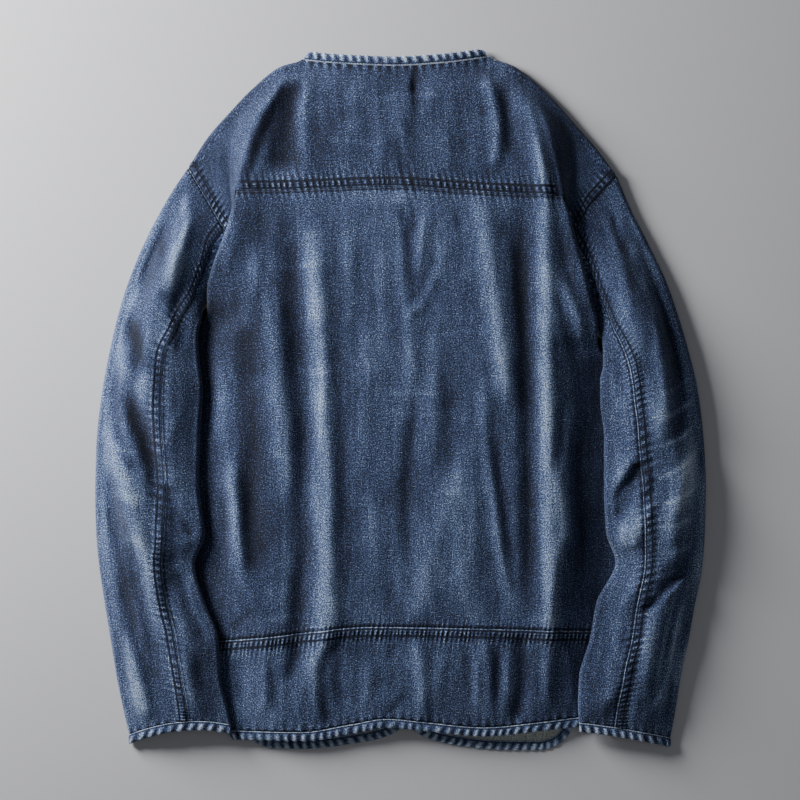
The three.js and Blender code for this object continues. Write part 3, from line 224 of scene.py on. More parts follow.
RIGHT_SLEEVE = table("ox oy ix iy bow seam z0 z1 z2 z3 lift", (
    (227, 234, 209, 69, 1, 0.42, 10, 11.5, 11, 8.5, 0.4),
    (240, 203, 209.8, 66.5, 0.78, 0.46, 10, 17, 12, 9.5, 1.5),
    (260, 163, 210.4, 61, 0.5, 0.63, 11, 24, 17, 13.5, 5.5),
    (278, 125, 211, 51, 0.28, 0.74, 12, 28, 23, 19, 10.2),
    (291, 88, 211, 36, 0.1, 0.73, 13, 30, 27, 21, 10.5),
    (302, 50, 208, 20, 0, 0.7, 14, 31, 29, 21, 10),
    (311, 12, 208, -2, 0, 0.69, 14, 31, 30, 21, 9.5),
    (317, -35, 212, -40, 0, 0.69, 14, 31, 30, 21, 9.5),
    (320, -90, 212, -92, 0, 0.65, 14, 31, 30, 21, 9.5),
    (319, -135, 214, -138, 0, 0.64, 14, 31, 30, 22, 9.5),
    (316, -177, 224, -171, 0, 0.7, 14, 30, 28, 20, 9.5),
    (308, -218, 204, -213, 0, 0.61, 13, 28, 27, 20, 9.5),
    (302, -252, 198, -248, 0, 0.6, 13, 27, 26, 20, 9.5),
    (294, -290, 186, -291, 0, 0.58, 12, 25, 25, 19, 9.5),
    (288, -328, 185, -322, 0, 0.61, 10, 21, 21, 18, 10),
    (283, -355, 186, -338, 0, 0.62, 8.5, 17, 17.5, 17, 10.5),
))
LEFT_SLEEVE_FOLDS = table("from to top middle bottom width lift", (
    (225, 100, 219, 231, 238, 8, 4), (225, 30, 238, 266, 270, 8, -3.5),
    (60, -90, 302, 300, 268, 8, -3.5), (-60, -330, 305, 290, 252, 9, -4),
    (-85, -150, 248, 232, 214, 7, -3), (-175, -260, 232, 222, 206, 8, -2.5),
    (-240, -340, 290, 275, 262, 7, 2.5),
))
RIGHT_SLEEVE_FOLDS = table("from to top middle bottom width lift", (
    (215, -60, 228, 268, 268, 9, 4), (200, -60, 246, 284, 288, 8, -4),
    (-60, -130, 252, 238, 222, 8, -3.5), (-100, -160, 262, 250, 238, 9, 3),
    (-180, -225, 296, 272, 250, 7, -3), (-200, -335, 302, 286, 266, 7, 3),
    (-215, -340, 304, 296, 276, 6, -3),
))
UNDERARM_CORNER = table("out down", (
    (-8, 18), (5, 17), (5, 8), (-3, 1.5),
))

# %% [markdown]
# ## Small folds and creases
#
# Washed denim never lies quite flat. The large folds are the frame's own, and these are the smaller ones,
# placed where light and shade change on the cloth: soft ridges (lift over 0) and troughs, each along a line
# from one end to the other that may bow a little. On the sleeves, x counts from the jacket's middle.

# %% Tables of creases
CREASE = "x0 y0 x1 y1 bow width lift"
BACK_CREASES = table(CREASE, (
    (-172, 205, -184, 120, -5, 7, 1.6), (-196, 60, -192, -60, 6, 9, 1.8),
    (-186, -80, -198, -210, 5, 8, -1.8), (-60, 205, -52, 60, 4, 8, 1.2),
    (-42, 190, -40, -40, -5, 9, -1.3), (-20, 195, -10, 20, -4, 7, 1.1),
    (0, 208, 4, 180, 0, 5, -1.6), (9, 214, 14, 166, 2, 5, -1.5), (40, 166, 6, 86, 5, 6, -1.6),
    (57, 204, 62, 172, 0, 5, -1.3), (30, 110, 26, -100, 6, 9, 1.2), (52, 60, 60, -140, -4, 9, -1.3),
    (70, 20, 76, -210, 4, 8, 1.1), (112, 205, 122, 60, 4, 6, -1.2), (168, 196, 190, 90, -5, 7, -2),
    (190, 100, 206, 40, 4, 8, 1.8), (180, -10, 184, -220, 6, 9, -1.8), (166, -40, 172, -180, -3, 7, 1.3),
    (-150, 180, -168, 60, 5, 8, 1.3), (-104, -60, -112, -200, 5, 7, 1.2), (-30, -60, -36, -230, 6, 10, 1.1),
    (-6, -120, -8, -236, -4, 8, -1.1), (96, -150, 104, -236, 4, 7, -1.2), (-70, -200, -66, -246, 0, 6, 1.1),
    (-186, -140, -160, -176, 4, 6, 1.1), (-150, -214, -176, -250, -3, 6, -1.3), (30, -190, 36, -238, 0, 6, 1),
    (-48, 350, -58, 250, 5, 9, 1.1), (-20, 356, -22, 262, 3, 7, -0.9), (14, 348, 18, 292, 0, 5, -1.8),
    (30, 350, 36, 240, -4, 8, 1), (60, 340, 66, 236, 4, 7, -1), (-90, 350, -112, 260, -4, 7, 1.2),
    (112, 340, 124, 240, -5, 8, -1.2), (-150, 290, -170, 220, 5, 7, -1.4), (150, 300, 172, 224, -5, 8, -1.5),
    (-198, 250, -188, 200, 4, 7, 1.2), (196, 240, 180, 200, -3, 7, 1.2), (-120, 320, -96, 344, 4, 6, 0.9),
    (-110, -252, -122, -300, 3, 6, -1.5), (-96, -262, -104, -338, -4, 7, 1.4),
    (-140, -260, -150, -340, 3, 7, 1.3),
    (-34, -262, -44, -336, 4, 6, 1.2), (-6, -250, -14, -280, 0, 5, -1), (44, -256, 40, -330, -3, 7, 1.3),
    (66, -250, 72, -336, 3, 6, -1.3), (108, -256, 104, -330, 3, 6, 1.2), (148, -250, 154, -336, -4, 7, -1.4),
    (-168, -262, -176, -330, 3, 7, -1.3), (170, -254, 178, -330, 3, 7, 1.4), (10, -300, -20, -336, 3, 6, -1),
))
# Broad, soft folds that the light shows most
BACK_WAVES = table(CREASE, (
    (-78, 160, -64, -230, 4, 10, -2.6), (-128, 180, -108, -60, 2, 8, -2), (24, 50, 10, -232, -10, 8, -2.4),
    (64, -4, 68, -252, -4, 13, 2.6), (84, 24, 118, -232, 4, 7, -3), (2, 214, 10, 90, 3, 7, -2.6),
    (26, 206, 16, 124, 0, 7, 2), (148, 150, 206, 24, 6, 10, 3.8), (172, 60, 172, -240, 0, 15, 2.6),
    (-184, -30, -172, -160, 2, 8, 2.2), (-160, -60, -162, -225, 0, 8, -2.4),
    (-40, 130, -52, -150, 6, 10, 1.4), (-174, 214, -103, 358, 15, 4.5, 2.2),
    (-160, 222, -96, 344, 15, 10, -1.8), (-98, 348, -94, 224, -6, 7, 2.4),
    (-132, 318, -130, 224, 0, 15, -2), (96, 344, 100, 226, 12, 8, -3), (122, 346, 150, 212, 6, 12, 3.4),
    (14, 356, 13, 314, 0, 4, -3), (-6, 284, 6, 222, 0, 6, -2.2), (-28, 330, -22, 234, 3, 8, 1.6),
    (44, 300, 48, 226, 0, 8, 1.4), (-96, -250, -84, -346, 0, 8, 2.6), (-70, -252, -60, -346, 0, 8, -2.2),
    (16, -256, 24, -330, 0, 9, 1.8), (104, -250, 98, -340, 0, 7, -2.6), (80, -256, 78, -340, 0, 7, 2),
    (150, -256, 152, -336, 0, 7, 2.2), (-140, -262, -130, -340, 0, 7, -2),
    (146, 150, 172, 20, 4, 7, 2), (170, 16, 154, -110, 3, 7, -1.8), (156, -60, 178, -170, 4, 7, 2),
    (172, -120, 158, -236, -3, 7, 1.6), (-82, 40, -92, -80, 4, 6, 1.4), (-96, -30, -84, -170, -4, 6, 1.2),
))
LEFT_SLEEVE_WAVES = table(CREASE, (
    (302, 34, 252, -146, -14, 10, -6.5), (308, -92, 250, -334, -6, 12, -5), (308, -30, 248, -284, -8, 10, 4),
    (216, 216, 262, 90, -4, 9, 3.6), (248, 200, 288, 102, 0, 9, -6), (288, 112, 270, 10, 0, 9, -5.5),
    (268, 92, 264, -24, 0, 9, 3), (238, -86, 238, -232, 3, 9, -2.8), (228, 140, 240, 60, 0, 7, -2.6),
    (232, -250, 214, -336, 0, 9, 3), (290, -250, 272, -346, 0, 8, 2.6),
))
RIGHT_SLEEVE_WAVES = table(CREASE, (
    (232, 216, 284, -24, 10, 13, -5), (226, 140, 246, -10, 4, 9, 2.6), (318, -26, 264, -154, 6, 13, 3.6),
    (256, -62, 214, -116, 0, 6, -3.4), (308, -160, 260, -204, 3, 8, -3), (298, -234, 282, -334, 0, 8, -3.2),
    (236, -244, 210, -340, 0, 10, 2.8), (250, -108, 226, -160, 0, 8, 2.6), (268, -210, 250, -320, 0, 9, 2.4),
))
LEFT_SLEEVE_CREASES = table(CREASE, (
    (219, 212, 232, 130, 5, 5, -1.8), (246, 196, 262, 120, 4, 6, 1.5), (262, 170, 292, 60, 6, 8, 1.2),
    (244, 110, 250, 20, -5, 7, 1.3), (226, 92, 236, 44, -3, 6, -1.5), (272, 60, 280, -50, 5, 7, -1.5),
    (226, 0, 244, -60, 4, 7, 1.2), (300, 20, 304, -90, 4, 8, 1.2), (236, -100, 218, -134, 3, 5, 1.6),
    (242, -112, 224, -152, 3, 5, -1.6), (252, -128, 236, -168, 3, 6, 1.3), (300, -110, 262, -160, -6, 7, 1.2),
    (296, -140, 264, -196, -5, 7, -1.2), (222, -186, 208, -232, 3, 6, 1.3),
    (246, -180, 226, -250, 5, 7, -1.1),
    (282, -190, 270, -300, -5, 7, 1.4), (296, -230, 288, -320, 4, 6, -1.4), (244, -256, 222, -330, 4, 7, 1.2),
    (212, -262, 202, -318, 3, 6, -1.2), (262, -300, 256, -346, 0, 6, -1.2), (232, -318, 226, -346, 0, 5, 1),
))
RIGHT_SLEEVE_CREASES = table(CREASE, (
    (222, 214, 240, 140, -4, 5, -1.8), (250, 186, 278, 96, 6, 6, 1.5), (236, 130, 252, 40, 4, 7, 1.3),
    (226, 60, 236, -10, -3, 6, -1.5), (262, 40, 270, -60, -4, 7, 1.2), (296, 60, 308, -60, 4, 7, -1.2),
    (240, -50, 222, -92, 3, 6, 1.4), (262, -92, 234, -134, 4, 6, -1.4), (232, -126, 224, -160, 2, 5, 1.4),
    (304, -120, 270, -150, 4, 6, 1.2), (306, -150, 262, -186, 5, 6, -1.3), (300, -182, 256, -210, 4, 6, 1.4),
    (246, -176, 222, -226, 4, 6, 1.2), (268, -214, 252, -300, -5, 7, 1.3), (236, -230, 214, -312, 4, 7, -1.2),
    (206, -230, 198, -300, 3, 6, 1.1), (282, -240, 262, -330, 4, 6, -1.3), (248, -300, 240, -346, 0, 6, 1),
    (222, -310, 214, -342, 0, 6, -1),
))
# Pale lines rubbed in where the cloth creases in wear, and darker places with lift under 0, which are painted
# shade on folds and on slopes turned from the light: they change the colour only
LEFT_RUBS_AND_PAINTED_SHADE = table(CREASE, (
    (306, -40, 270, -60, 4, 5, 0.12), (308, -90, 268, -104, 4, 6, 0.12), (304, -150, 262, -150, -4, 6, 0.1),
    (300, -60, 304, -160, 3, 9, 0.06), (240, 200, 262, 80, 0, 10, -0.18), (302, 16, 256, -92, -4, 9, -0.2),
    (306, -78, 272, -160, -4, 9, -0.2), (292, 96, 258, 12, -3, 8, -0.18), (300, -160, 282, -320, 0, 12, -0.1),
    (252, -30, 262, -120, 3, 6, 0.06), (222, 206, 236, 150, 3, 4, -0.16),
))
RIGHT_RUBS_AND_PAINTED_SHADE = table(CREASE, (
    (306, 28, 262, 4, 5, 2.4, 0.12), (310, 6, 262, -22, 5, 2.8, 0.22), (312, -20, 258, -52, 6, 2.4, 0.22),
    (304, -34, 270, -44, 3, 2, 0.1), (312, -52, 256, -84, 6, 2.8, 0.24), (306, -66, 276, -86, 3, 2, 0.12),
    (314, -86, 258, -112, 5, 2.4, 0.22), (312, -118, 262, -134, 4, 2.8, 0.2),
    (300, -104, 276, -116, 2, 2, 0.1),
    (308, -150, 268, -160, 3, 3, 0.1), (292, 40, 300, -150, 5, 16, 0.1), (262, 120, 280, 60, 3, 8, 0.08),
    (318, -60, 302, -250, 4, 6, 0.2), (302, -240, 290, -346, 0, 6, 0.18),
    (294, -168, 264, -330, -4, 2.6, 0.16),
    (302, -190, 278, -300, -3, 2.2, 0.14), (232, 208, 250, 60, -4, 5, -0.2), (262, 160, 300, 20, 4, 12, -0.1),
    (268, 96, 268, -24, 0, 10, -0.12), (296, -30, 312, -110, 3, 10, 0.08), (250, -60, 262, -96, 3, 5, -0.12),
    (290, -250, 284, -340, 0, 16, 0.08), (230, -200, 206, -300, 3, 9, 0.06),
))
# On the back the long broad pale bands down the ridges are painted highlight on the flanks turned to the
# light
BACK_RUBS_AND_PAINTED_LIGHT = table(CREASE, (
    (-60, 150, -140, 138, 4, 3, 0.1), (-130, 40, -60, 28, -5, 3, 0.1), (20, 60, 92, 70, 5, 3, 0.08),
    (-36, 6, 60, 2, 3, 2.4, 0.1), (-40, -8, 70, -14, -4, 2.4, 0.08), (30, -100, 110, -96, 4, 3, 0.08),
    (-150, -60, -92, -66, 3, 3, 0.08), (-160, -236, -90, -226, 3, 5, 0.1), (120, -230, 184, -236, 3, 6, 0.1),
    (-44, 310, 62, 318, 5, 3, 0.08), (-90, 272, -20, 262, 4, 3, 0.07), (-70, 210, 40, 206, 3, 8, 0.09),
    (-104, 210, -86, -240, 2, 12, 0.08), (146, 206, 152, -240, 0, 9, 0.05), (92, 176, 116, -50, 0, 9, 0.06),
    (66, -10, 68, -250, 0, 13, 0.05), (-72, 150, -66, -240, 0, 12, -0.07), (122, 204, 128, -60, 0, 8, -0.07),
    (186, 20, 186, -240, 0, 16, -0.05), (6, 204, 10, 90, 0, 10, -0.07), (-50, 216, -44, 40, 0, 14, 0.04),
))
print("creases on the back:", len(BACK_CREASES["x0"]))

# %% [markdown]
# ## Arithmetic
#
# `track` reads a table as smooth curves, `path_of` turns a table of points into a path by the share of its
# length, and `beside` gives a second line at a set distance from it, as a sewer marks a seam allowance.


# %% Small functions
def mix(a, b, t):
    return a + (b - a) * t


def smooth(t):
    """Eased step from 0 to 1."""
    t = np.clip(t, 0, 1)
    return t * t * (3 - 2 * t)


def fade_out(t):
    return 1 - smooth(t)


def bump(value, place, width):
    """Rounded bump of height 1 at a place, fallen to about a third at its width."""
    return np.exp(-(((value - place) / width) ** 2))


def harmonic(a, b):
    """Slope between two slopes: none where they turn, so that the curve never overshoots."""
    same = a * b > 0
    return np.where(same, 2 * a * b / np.where(same, a + b, 1), 0)


def hermite(a, b, slope_a, slope_b, t):
    """Smooth curve from a to b that leaves and arrives with the given slopes."""
    bend = 3 * (b - a) - 2 * slope_a - slope_b
    return a + t * (slope_a + t * (bend + t * (slope_a + slope_b - 2 * (b - a))))


def track(rows, key):
    """Reader of a table: any of its columns, at any value of its key column."""
    at = rows[key]
    slopes = {}
    for name, value in rows.items():
        rate = np.diff(value) / np.diff(at)
        slopes[name] = np.concatenate((rate[:1], harmonic(rate[:-1], rate[1:]), rate[-1:]))

    def read(name, wanted):
        k = np.clip(wanted, at[0], at[-1])
        i = np.clip(np.searchsorted(at, k) - 1, 0, len(at) - 2)
        length = at[i + 1] - at[i]
        value, slope = rows[name], slopes[name]
        return hermite(value[i], value[i + 1], slope[i] * length, slope[i + 1] * length, (k - at[i]) / length)

    return read


def path_of(rows):
    """Path through the points of a table, by the share of its length."""
    steps = np.hypot(np.diff(rows["x"]), np.diff(rows["y"]))
    shares = np.concatenate(([0], np.cumsum(steps))) / steps.sum()
    read = track({**rows, "share": shares}, "share")
    names = [name for name in ("x", "y", "z") if name in rows]

    def path(t):
        return np.stack([read(name, t) for name in names], -1)

    path.total = steps.sum()
    path.shares = shares
    return path


def mirrored(rows, sign=-1):
    return {**rows, "x": rows["x"] * sign}


def beside(path, t, aside):
    """Points to the left of a path, looking along it, by the distance aside."""
    step = 0.002
    ahead = path(np.minimum(1, t + step)) - path(np.maximum(0, t - step))
    length = np.hypot(ahead[..., 0], ahead[..., 1])
    points = path(t)
    points[..., 0] -= ahead[..., 1] / length * aside
    points[..., 1] += ahead[..., 0] / length * aside
    return points


def fold_height(folds, x, y):
    """Sum of the large folds at a place."""
    height = np.zeros(np.broadcast(x, y).shape)
    for start, end, top, middle, bottom, width, lift in zip(*folds.values()):
        t = np.clip((start - y) / (start - end), 0, 1)
        bend = top * (1 - t) * (1 - 2 * t) + middle * 4 * t * (1 - t) + bottom * t * (2 * t - 1)
        ends = smooth(t / FOLD_END) * smooth((1 - t) / FOLD_END)
        height += lift * ends * bump(x, bend, width)
    return height


def crease_height(creases, x, y):
    """Sum of the small creases at a place: each lies along its line, and dies out at its ends."""
    height = np.zeros(np.broadcast(x, y).shape)
    for x0, y0, x1, y1, bow, width, lift in zip(*creases.values()):
        length = math.hypot(x1 - x0, y1 - y0)
        along_x, along_y = (x1 - x0) / length, (y1 - y0) / length
        t = ((x - x0) * along_x + (y - y0) * along_y) / length
        inside = np.clip(t, 0, 1)
        away = (y - y0) * along_x - (x - x0) * along_y - bow * 4 * inside * (1 - inside)
        ends = smooth(t / CREASE_END) * smooth((1 - t) / CREASE_END)
        height += lift * ends * bump(away, 0, width)
    return height


def ripple(x, y, cell, seed):
    """Smooth unevenness from -1 to 1, the same on each run."""
    lattice = np.random.default_rng(seed).uniform(-1, 1, (64, 64))
    gx, gy = np.broadcast_arrays(np.asarray(x, float) / cell, np.asarray(y, float) / cell)
    ix, iy = np.floor(gx).astype(int), np.floor(gy).astype(int)
    fx, fy = smooth(gx - ix), smooth(gy - iy)
    low = mix(lattice[ix % 64, iy % 64], lattice[(ix + 1) % 64, iy % 64], fx)
    high = mix(lattice[ix % 64, (iy + 1) % 64], lattice[(ix + 1) % 64, (iy + 1) % 64], fx)
    return mix(low, high, fy)


def stations(*stops):
    """Joins even stretches given as (start, end, steps), each without the point where the next one begins."""
    parts = [np.linspace(start, end, steps + 1)[:-1] for start, end, steps in stops]
    return np.concatenate(parts + [[stops[-1][1]]])


print("a ripple's value:", round(float(ripple(3.0, 4.0, 10, 1)), 3))

# %% [markdown]
# ## How a lapped seam and a roped edge look
#
# Two rows of stitches draw the cloth together and the wash shrinks the layers unevenly, so small ropes stand
# between the rows and fade into the panel beside them. `pucker` gives their height, nearly nothing on the
# stitch lines themselves. A narrow turned edge twists as it shrinks and gets slanting ropes, pale where they
# rub and dark between.


# %% Puckers and ropes
def pucker(along, inside, pitch, seed):
    """Height of the ropes from -1 to 1. inside is the distance from the seam into the lap."""
    phase = along / pitch + 0.35 * ripple(along, 0, pitch * 2.3, seed) + inside * 0.035
    first, second = LAP_ROWS
    between = np.sin(np.pi * np.clip((inside - first) / (second - first), 0, 1))
    beyond = np.exp(-np.maximum(inside - second, 0) / PUCKER_PAST_ROW) * smooth((inside - second) / 1.5)
    outside = 0.85 * np.exp(np.minimum(inside, 0) / PUCKER_PAST_EDGE) * smooth(-inside / 0.8)
    edge = 0.5 * smooth((first - inside) / first) * (inside >= 0)
    strength = 0.7 + 0.45 * ripple(along, 5, pitch * 1.7, seed + 1)
    wave = np.sin(2 * np.pi * phase)
    crest = np.where(wave > 0, 1.2 * np.abs(wave) ** 1.3, -0.9 * np.abs(wave) ** 0.75)
    return crest * strength * (between + 0.8 * beyond + outside + edge)


def grooves_at(inside):
    """How deep in a stitched groove a place is, from 0 to 1."""
    return sum(bump(inside, row, GROOVE_WIDTH) for row in LAP_ROWS)


def lap_rise(inside):
    """How far a lap stands up: rounded at its edge, and sloping down where the layers under it end."""
    flat = LAP_RISE * fade_out((inside - LAP_WIDTH) / LAP_SLOPE)
    return flat * mix(0.55, 1, smooth(inside / 1.2)) - 0.4 * grooves_at(inside)


def lap_tone(inside):
    """Paler on the rubbed edge of the lap, and darker in its grooves, just below it and along its middle."""
    rubbed, below, middle = bump(inside, 0.35, 0.6), bump(inside, -1.5, 1.3), bump(inside, 5.2, 0.8)
    return 0.66 * rubbed - 0.72 * grooves_at(inside) - 0.46 * below - 0.26 * middle


def rope(along, out, seed):
    """Height of the ropes of a turned edge from -1 to 1, out being the share of its width from its seam."""
    jitter = 0.3 * ripple(along, 0, 23, seed)
    wave = np.sin(2 * np.pi * (along / ROPE_PITCH + jitter) + out * ROPE_SLANT)
    strength = (0.8 + 0.4 * ripple(along, 9, 15, seed + 1)) * smooth((out - STRIP_ROW) / 0.3)
    return wave * strength


# Across a turned edge: share of its width from the seam, and how far the cloth stands up there
STRIP_FORM = table("out round", (
    (0, -0.2), (0.05, 0.25), (0.1, -0.35), (0.16, 0), (0.28, 0.45), (0.42, 0.65), (0.58, 0.7),
    (0.74, 0.55), (0.87, 0.1), (0.95, -0.5), (0.99, -1.2), (1, -1.9),
))
print("most that a lap stands up:", round(float(lap_rise(np.linspace(0, 9, 50)).max()), 2), "mm")

# %% [markdown]
# ## Making cloth from a grid
#
# A panel starts as a flat grid from `bmesh.ops.create_grid`, as cloth starts flat, and its points are then
# put where the sections say. The cloth's thickness comes from Solidify, which also gives the inside its own
# material, since denim's back is paler and greyer than its face. The UV map is the real distance along the
# cloth, so that the weave keeps its scale on every piece, and the attribute `tone` says how faded each place
# is, with the painted highlight and shade laid on it.


def to_frame(points):
    """Millimetres of the tables to metres of the frame."""
    return (points - np.array([MIDDLE[0], MIDDLE[1], 0])) / 1000


def grid_normals(points, wrap=False):
    """Directions out of the cloth at each point of a grid."""
    if wrap:
        across = np.roll(points, -1, 1) - np.roll(points, 1, 1)
    else:
        across = np.gradient(points, axis=1)
    up = np.gradient(points, axis=0)
    normals = np.cross(across, up)
    return normals / np.maximum(np.linalg.norm(normals, axis=-1, keepdims=True), 1e-9)


def lengths_along(points, axis):
    """Distances walked on the cloth from the first row or column of a grid."""
    steps = np.linalg.norm(np.diff(points, axis=axis), axis=-1)
    return np.insert(np.cumsum(steps, axis), 0, 0, axis)


def finish_object(name, mesh, materials, thickness):
    """Makes a mesh an object with its materials and the thickness of its cloth, on the jacket's one body."""
    for polygon in mesh.polygons:
        polygon.use_smooth = True
    for material in materials:
        mesh.materials.append(material)
    piece = bpy.data.objects.new(name, mesh)
    bpy.context.scene.collection.objects.link(piece)
    if thickness:
        solid = piece.modifiers.new("cloth thickness", "SOLIDIFY")
        solid.thickness = thickness / 1000
        solid.offset = -1
        solid.material_offset = 1 if len(materials) > 1 else 0
    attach(piece, "root")
    return piece


def cloth_grid(name, points, tone, materials, thickness=CLOTH, wrap=False, middle=None):
    """A panel of cloth whose outer face goes through a grid of points, in millimetres."""
    if wrap:
        points = np.concatenate((points, points[:, :1]), 1)
        tone = np.concatenate((tone, tone[:, :1]), 1)
    rows, columns = points.shape[:2]
    bm = bmesh.new()
    bmesh.ops.create_grid(bm, x_segments=columns - 1, y_segments=rows - 1, size=0.5)
    mesh = bpy.data.meshes.new(name)
    bm.to_mesh(mesh)
    bm.free()
    flat = np.zeros(len(mesh.vertices) * 3)
    mesh.vertices.foreach_get("co", flat)
    flat = flat.reshape(-1, 3)
    column = np.rint((flat[:, 0] + 0.5) * (columns - 1)).astype(int)
    row = np.rint((flat[:, 1] + 0.5) * (rows - 1)).astype(int)
    mesh.vertices.foreach_set("co", to_frame(points)[row, column].ravel())
    middle = columns // 2 if middle is None else middle
    u = lengths_along(points, 1)
    u = u - u[:, middle : middle + 1]
    v = np.broadcast_to(lengths_along(points[:, middle], 0)[:, None], u.shape)
    corner = np.zeros(len(mesh.loops), int)
    mesh.loops.foreach_get("vertex_index", corner)
    place = np.stack((u[row, column][corner], v[row, column][corner]), -1) / 1000
    layer = mesh.uv_layers.new(name="cloth")
    layer.data.foreach_set("uv", place.ravel())
    shade = mesh.attributes.new("tone", "FLOAT", "POINT")
    shade.data.foreach_set("value", np.clip(tone, 0, 1)[row, column].astype(np.float32))
    if wrap:
        bm = bmesh.new()
        bm.from_mesh(mesh)
        bmesh.ops.remove_doubles(bm, verts=bm.verts, dist=1e-6)
        bm.to_mesh(mesh)
        bm.free()
    mesh.update()
    piece = finish_object(name, mesh, materials, thickness)
    print(f"{name}: {rows} by {columns} points")
    return piece


def blur(values, cells):
    """Evens a grid of heights out over some cells each way."""
    for axis in (0, 1):
        for _ in range(2):
            padded = np.pad(values, [(cells, cells) if a == axis else (0, 0) for a in (0, 1)], mode="edge")
            total = np.insert(np.cumsum(padded, axis), 0, 0, axis)
            size = 2 * cells + 1
            upper = np.take(total, np.arange(size, total.shape[axis]), axis)
            lower = np.take(total, np.arange(0, total.shape[axis] - size), axis)
            values = (upper - lower) / size
    return values


PLAIN_TONE = 0.43
TONE_OF_RELIEF = 0.045
TONE_OF_HEIGHT = 0.024
TONE_OF_PUCKERS = 0.5


def wash_and_painted_light(height, puckers, extra, x, y, seed):
    """Tone from 0, deep blue, to 1, nearly white: the fade of wear, paler on the puckers and on what stands
    up, with painted highlight on the fold crests and painted shade in what lies low.
    """
    relief = np.clip(height - blur(height, 9), -2.2, 2.2)
    cloudy = 0.05 * ripple(x, y, 46, seed) + 0.035 * ripple(x, y, 17, seed + 1)
    streaks = 0.03 * ripple(x, y / 7, 6, seed + 2)
    # Relief and height: partly the fade of wear on what stands up, partly painted highlight on the fold
    # crests and painted shade in the troughs
    raised = TONE_OF_RELIEF * relief + TONE_OF_HEIGHT * height + TONE_OF_PUCKERS * puckers
    return PLAIN_TONE + raised + cloudy + streaks + extra


# %% [markdown]
# ## Materials
#
# Indigo sits on the outside of the warp threads and wears off first where the cloth stands up, so one ramp
# from deep blue to a pale grey blue, read at `tone`, makes every fade, and also the painted highlight and
# shade laid along the folds. Fine noise stretched along the warp gives the slubs, a second one across it the
# weft, and a slanting wave the twill. The inside shows mostly the undyed weft, so it is greyer and paler.
# Real twill lines stand about a millimetre apart and the specks of the weave are finer still. Both are drawn
# coarser here, so that they show in a picture of the whole jacket.


# %% Materials
def linear(text):
    """sRGB hex colour to the linear colour that materials take."""
    values = [int(text[i : i + 2], 16) / 255 for i in (1, 3, 5)]
    return [v / 12.92 if v <= 0.04045 else ((v + 0.055) / 1.055) ** 2.4 for v in values] + [1]


def add_node(tree, kind, settings=None, inputs=None):
    """Adds a node; inputs are values, or outputs of other nodes to be joined."""
    new = tree.nodes.new(kind)
    for key, value in (settings or {}).items():
        setattr(new, key, value)
    for key, value in (inputs or {}).items():
        if isinstance(value, bpy.types.NodeSocket):
            tree.links.new(value, new.inputs[key])
        else:
            new.inputs[key].default_value = value
    return new


def faded_colour(tree, value, stops):
    """Colour of a value along stops of (position, colour), deep to pale."""
    made_ramp = add_node(tree, "ShaderNodeValToRGB", inputs={0: value})
    elements = made_ramp.color_ramp.elements
    while len(elements) < len(stops):
        elements.new(0.5)
    for element, (position, colour) in zip(elements, stops):
        element.position = position
        element.color = linear(colour)
    return made_ramp.outputs[0]


def stretched_noise(tree, place, cell_x, cell_y, detail):
    """Noise whose grains are cell_x by cell_y millimetres on the cloth."""
    cells = (1000 / cell_x, 1000 / cell_y, 1)
    scaled = add_node(tree, "ShaderNodeVectorMath", {"operation": "MULTIPLY"}, {0: place, 1: cells})
    grains = add_node(
        tree, "ShaderNodeTexNoise", {"noise_dimensions": "3D"},
        {"Vector": scaled.outputs[0], "Scale": 1.0, "Detail": detail, "Roughness": 0.6},
    )
    return grains.outputs[0]


def new_material(name):
    """An empty material and its tree of nodes."""
    material = bpy.data.materials.new(name)
    material.use_nodes = True
    tree = material.node_tree
    tree.nodes.clear()
    return material, tree


def finish_material(tree, colour, height, depth_mm, roughness, sheen):
    """Matt cloth or thread with a little fuzz: colour, fine relief of a depth in millimetres, and sheen."""
    relief = add_node(
        tree, "ShaderNodeBump", inputs={"Height": height, "Strength": 0.6, "Distance": depth_mm / 1000}
    )
    shader = add_node(
        tree, "ShaderNodeBsdfPrincipled",
        inputs={"Base Color": colour, "Normal": relief.outputs[0], "Roughness": roughness},
    )
    shader.inputs["Sheen Weight"].default_value = sheen
    shader.inputs["Sheen Roughness"].default_value = 0.5
    shader.inputs["Specular IOR Level"].default_value = 0.2
    add_node(tree, "ShaderNodeOutputMaterial", inputs={"Surface": shader.outputs[0]})


DENIM_RAMP = (
    (0.0, "#080b14"), (0.2, "#131a2c"), (0.4, "#29334f"), (0.56, "#435176"),
    (0.72, "#627699"), (0.87, "#8fa1bc"), (1.0, "#bfcad8"),
)


# Each grain of the cloth: its size across and along the warp in millimetres, its detail and its weight
GRAINS = {
    "warp": (1.3, 14, 3.0, 0.44), "slub": (4.2, 60, 2.0, 0.26), "weft": (9, 1.3, 2.0, 0.3),
    "speck": (1.2, 1.4, 2.0, 2.15),
}
TWILL_PITCH, TWILL_SLANT, TWILL_WEIGHT = 1.6, 1.6, 0.05


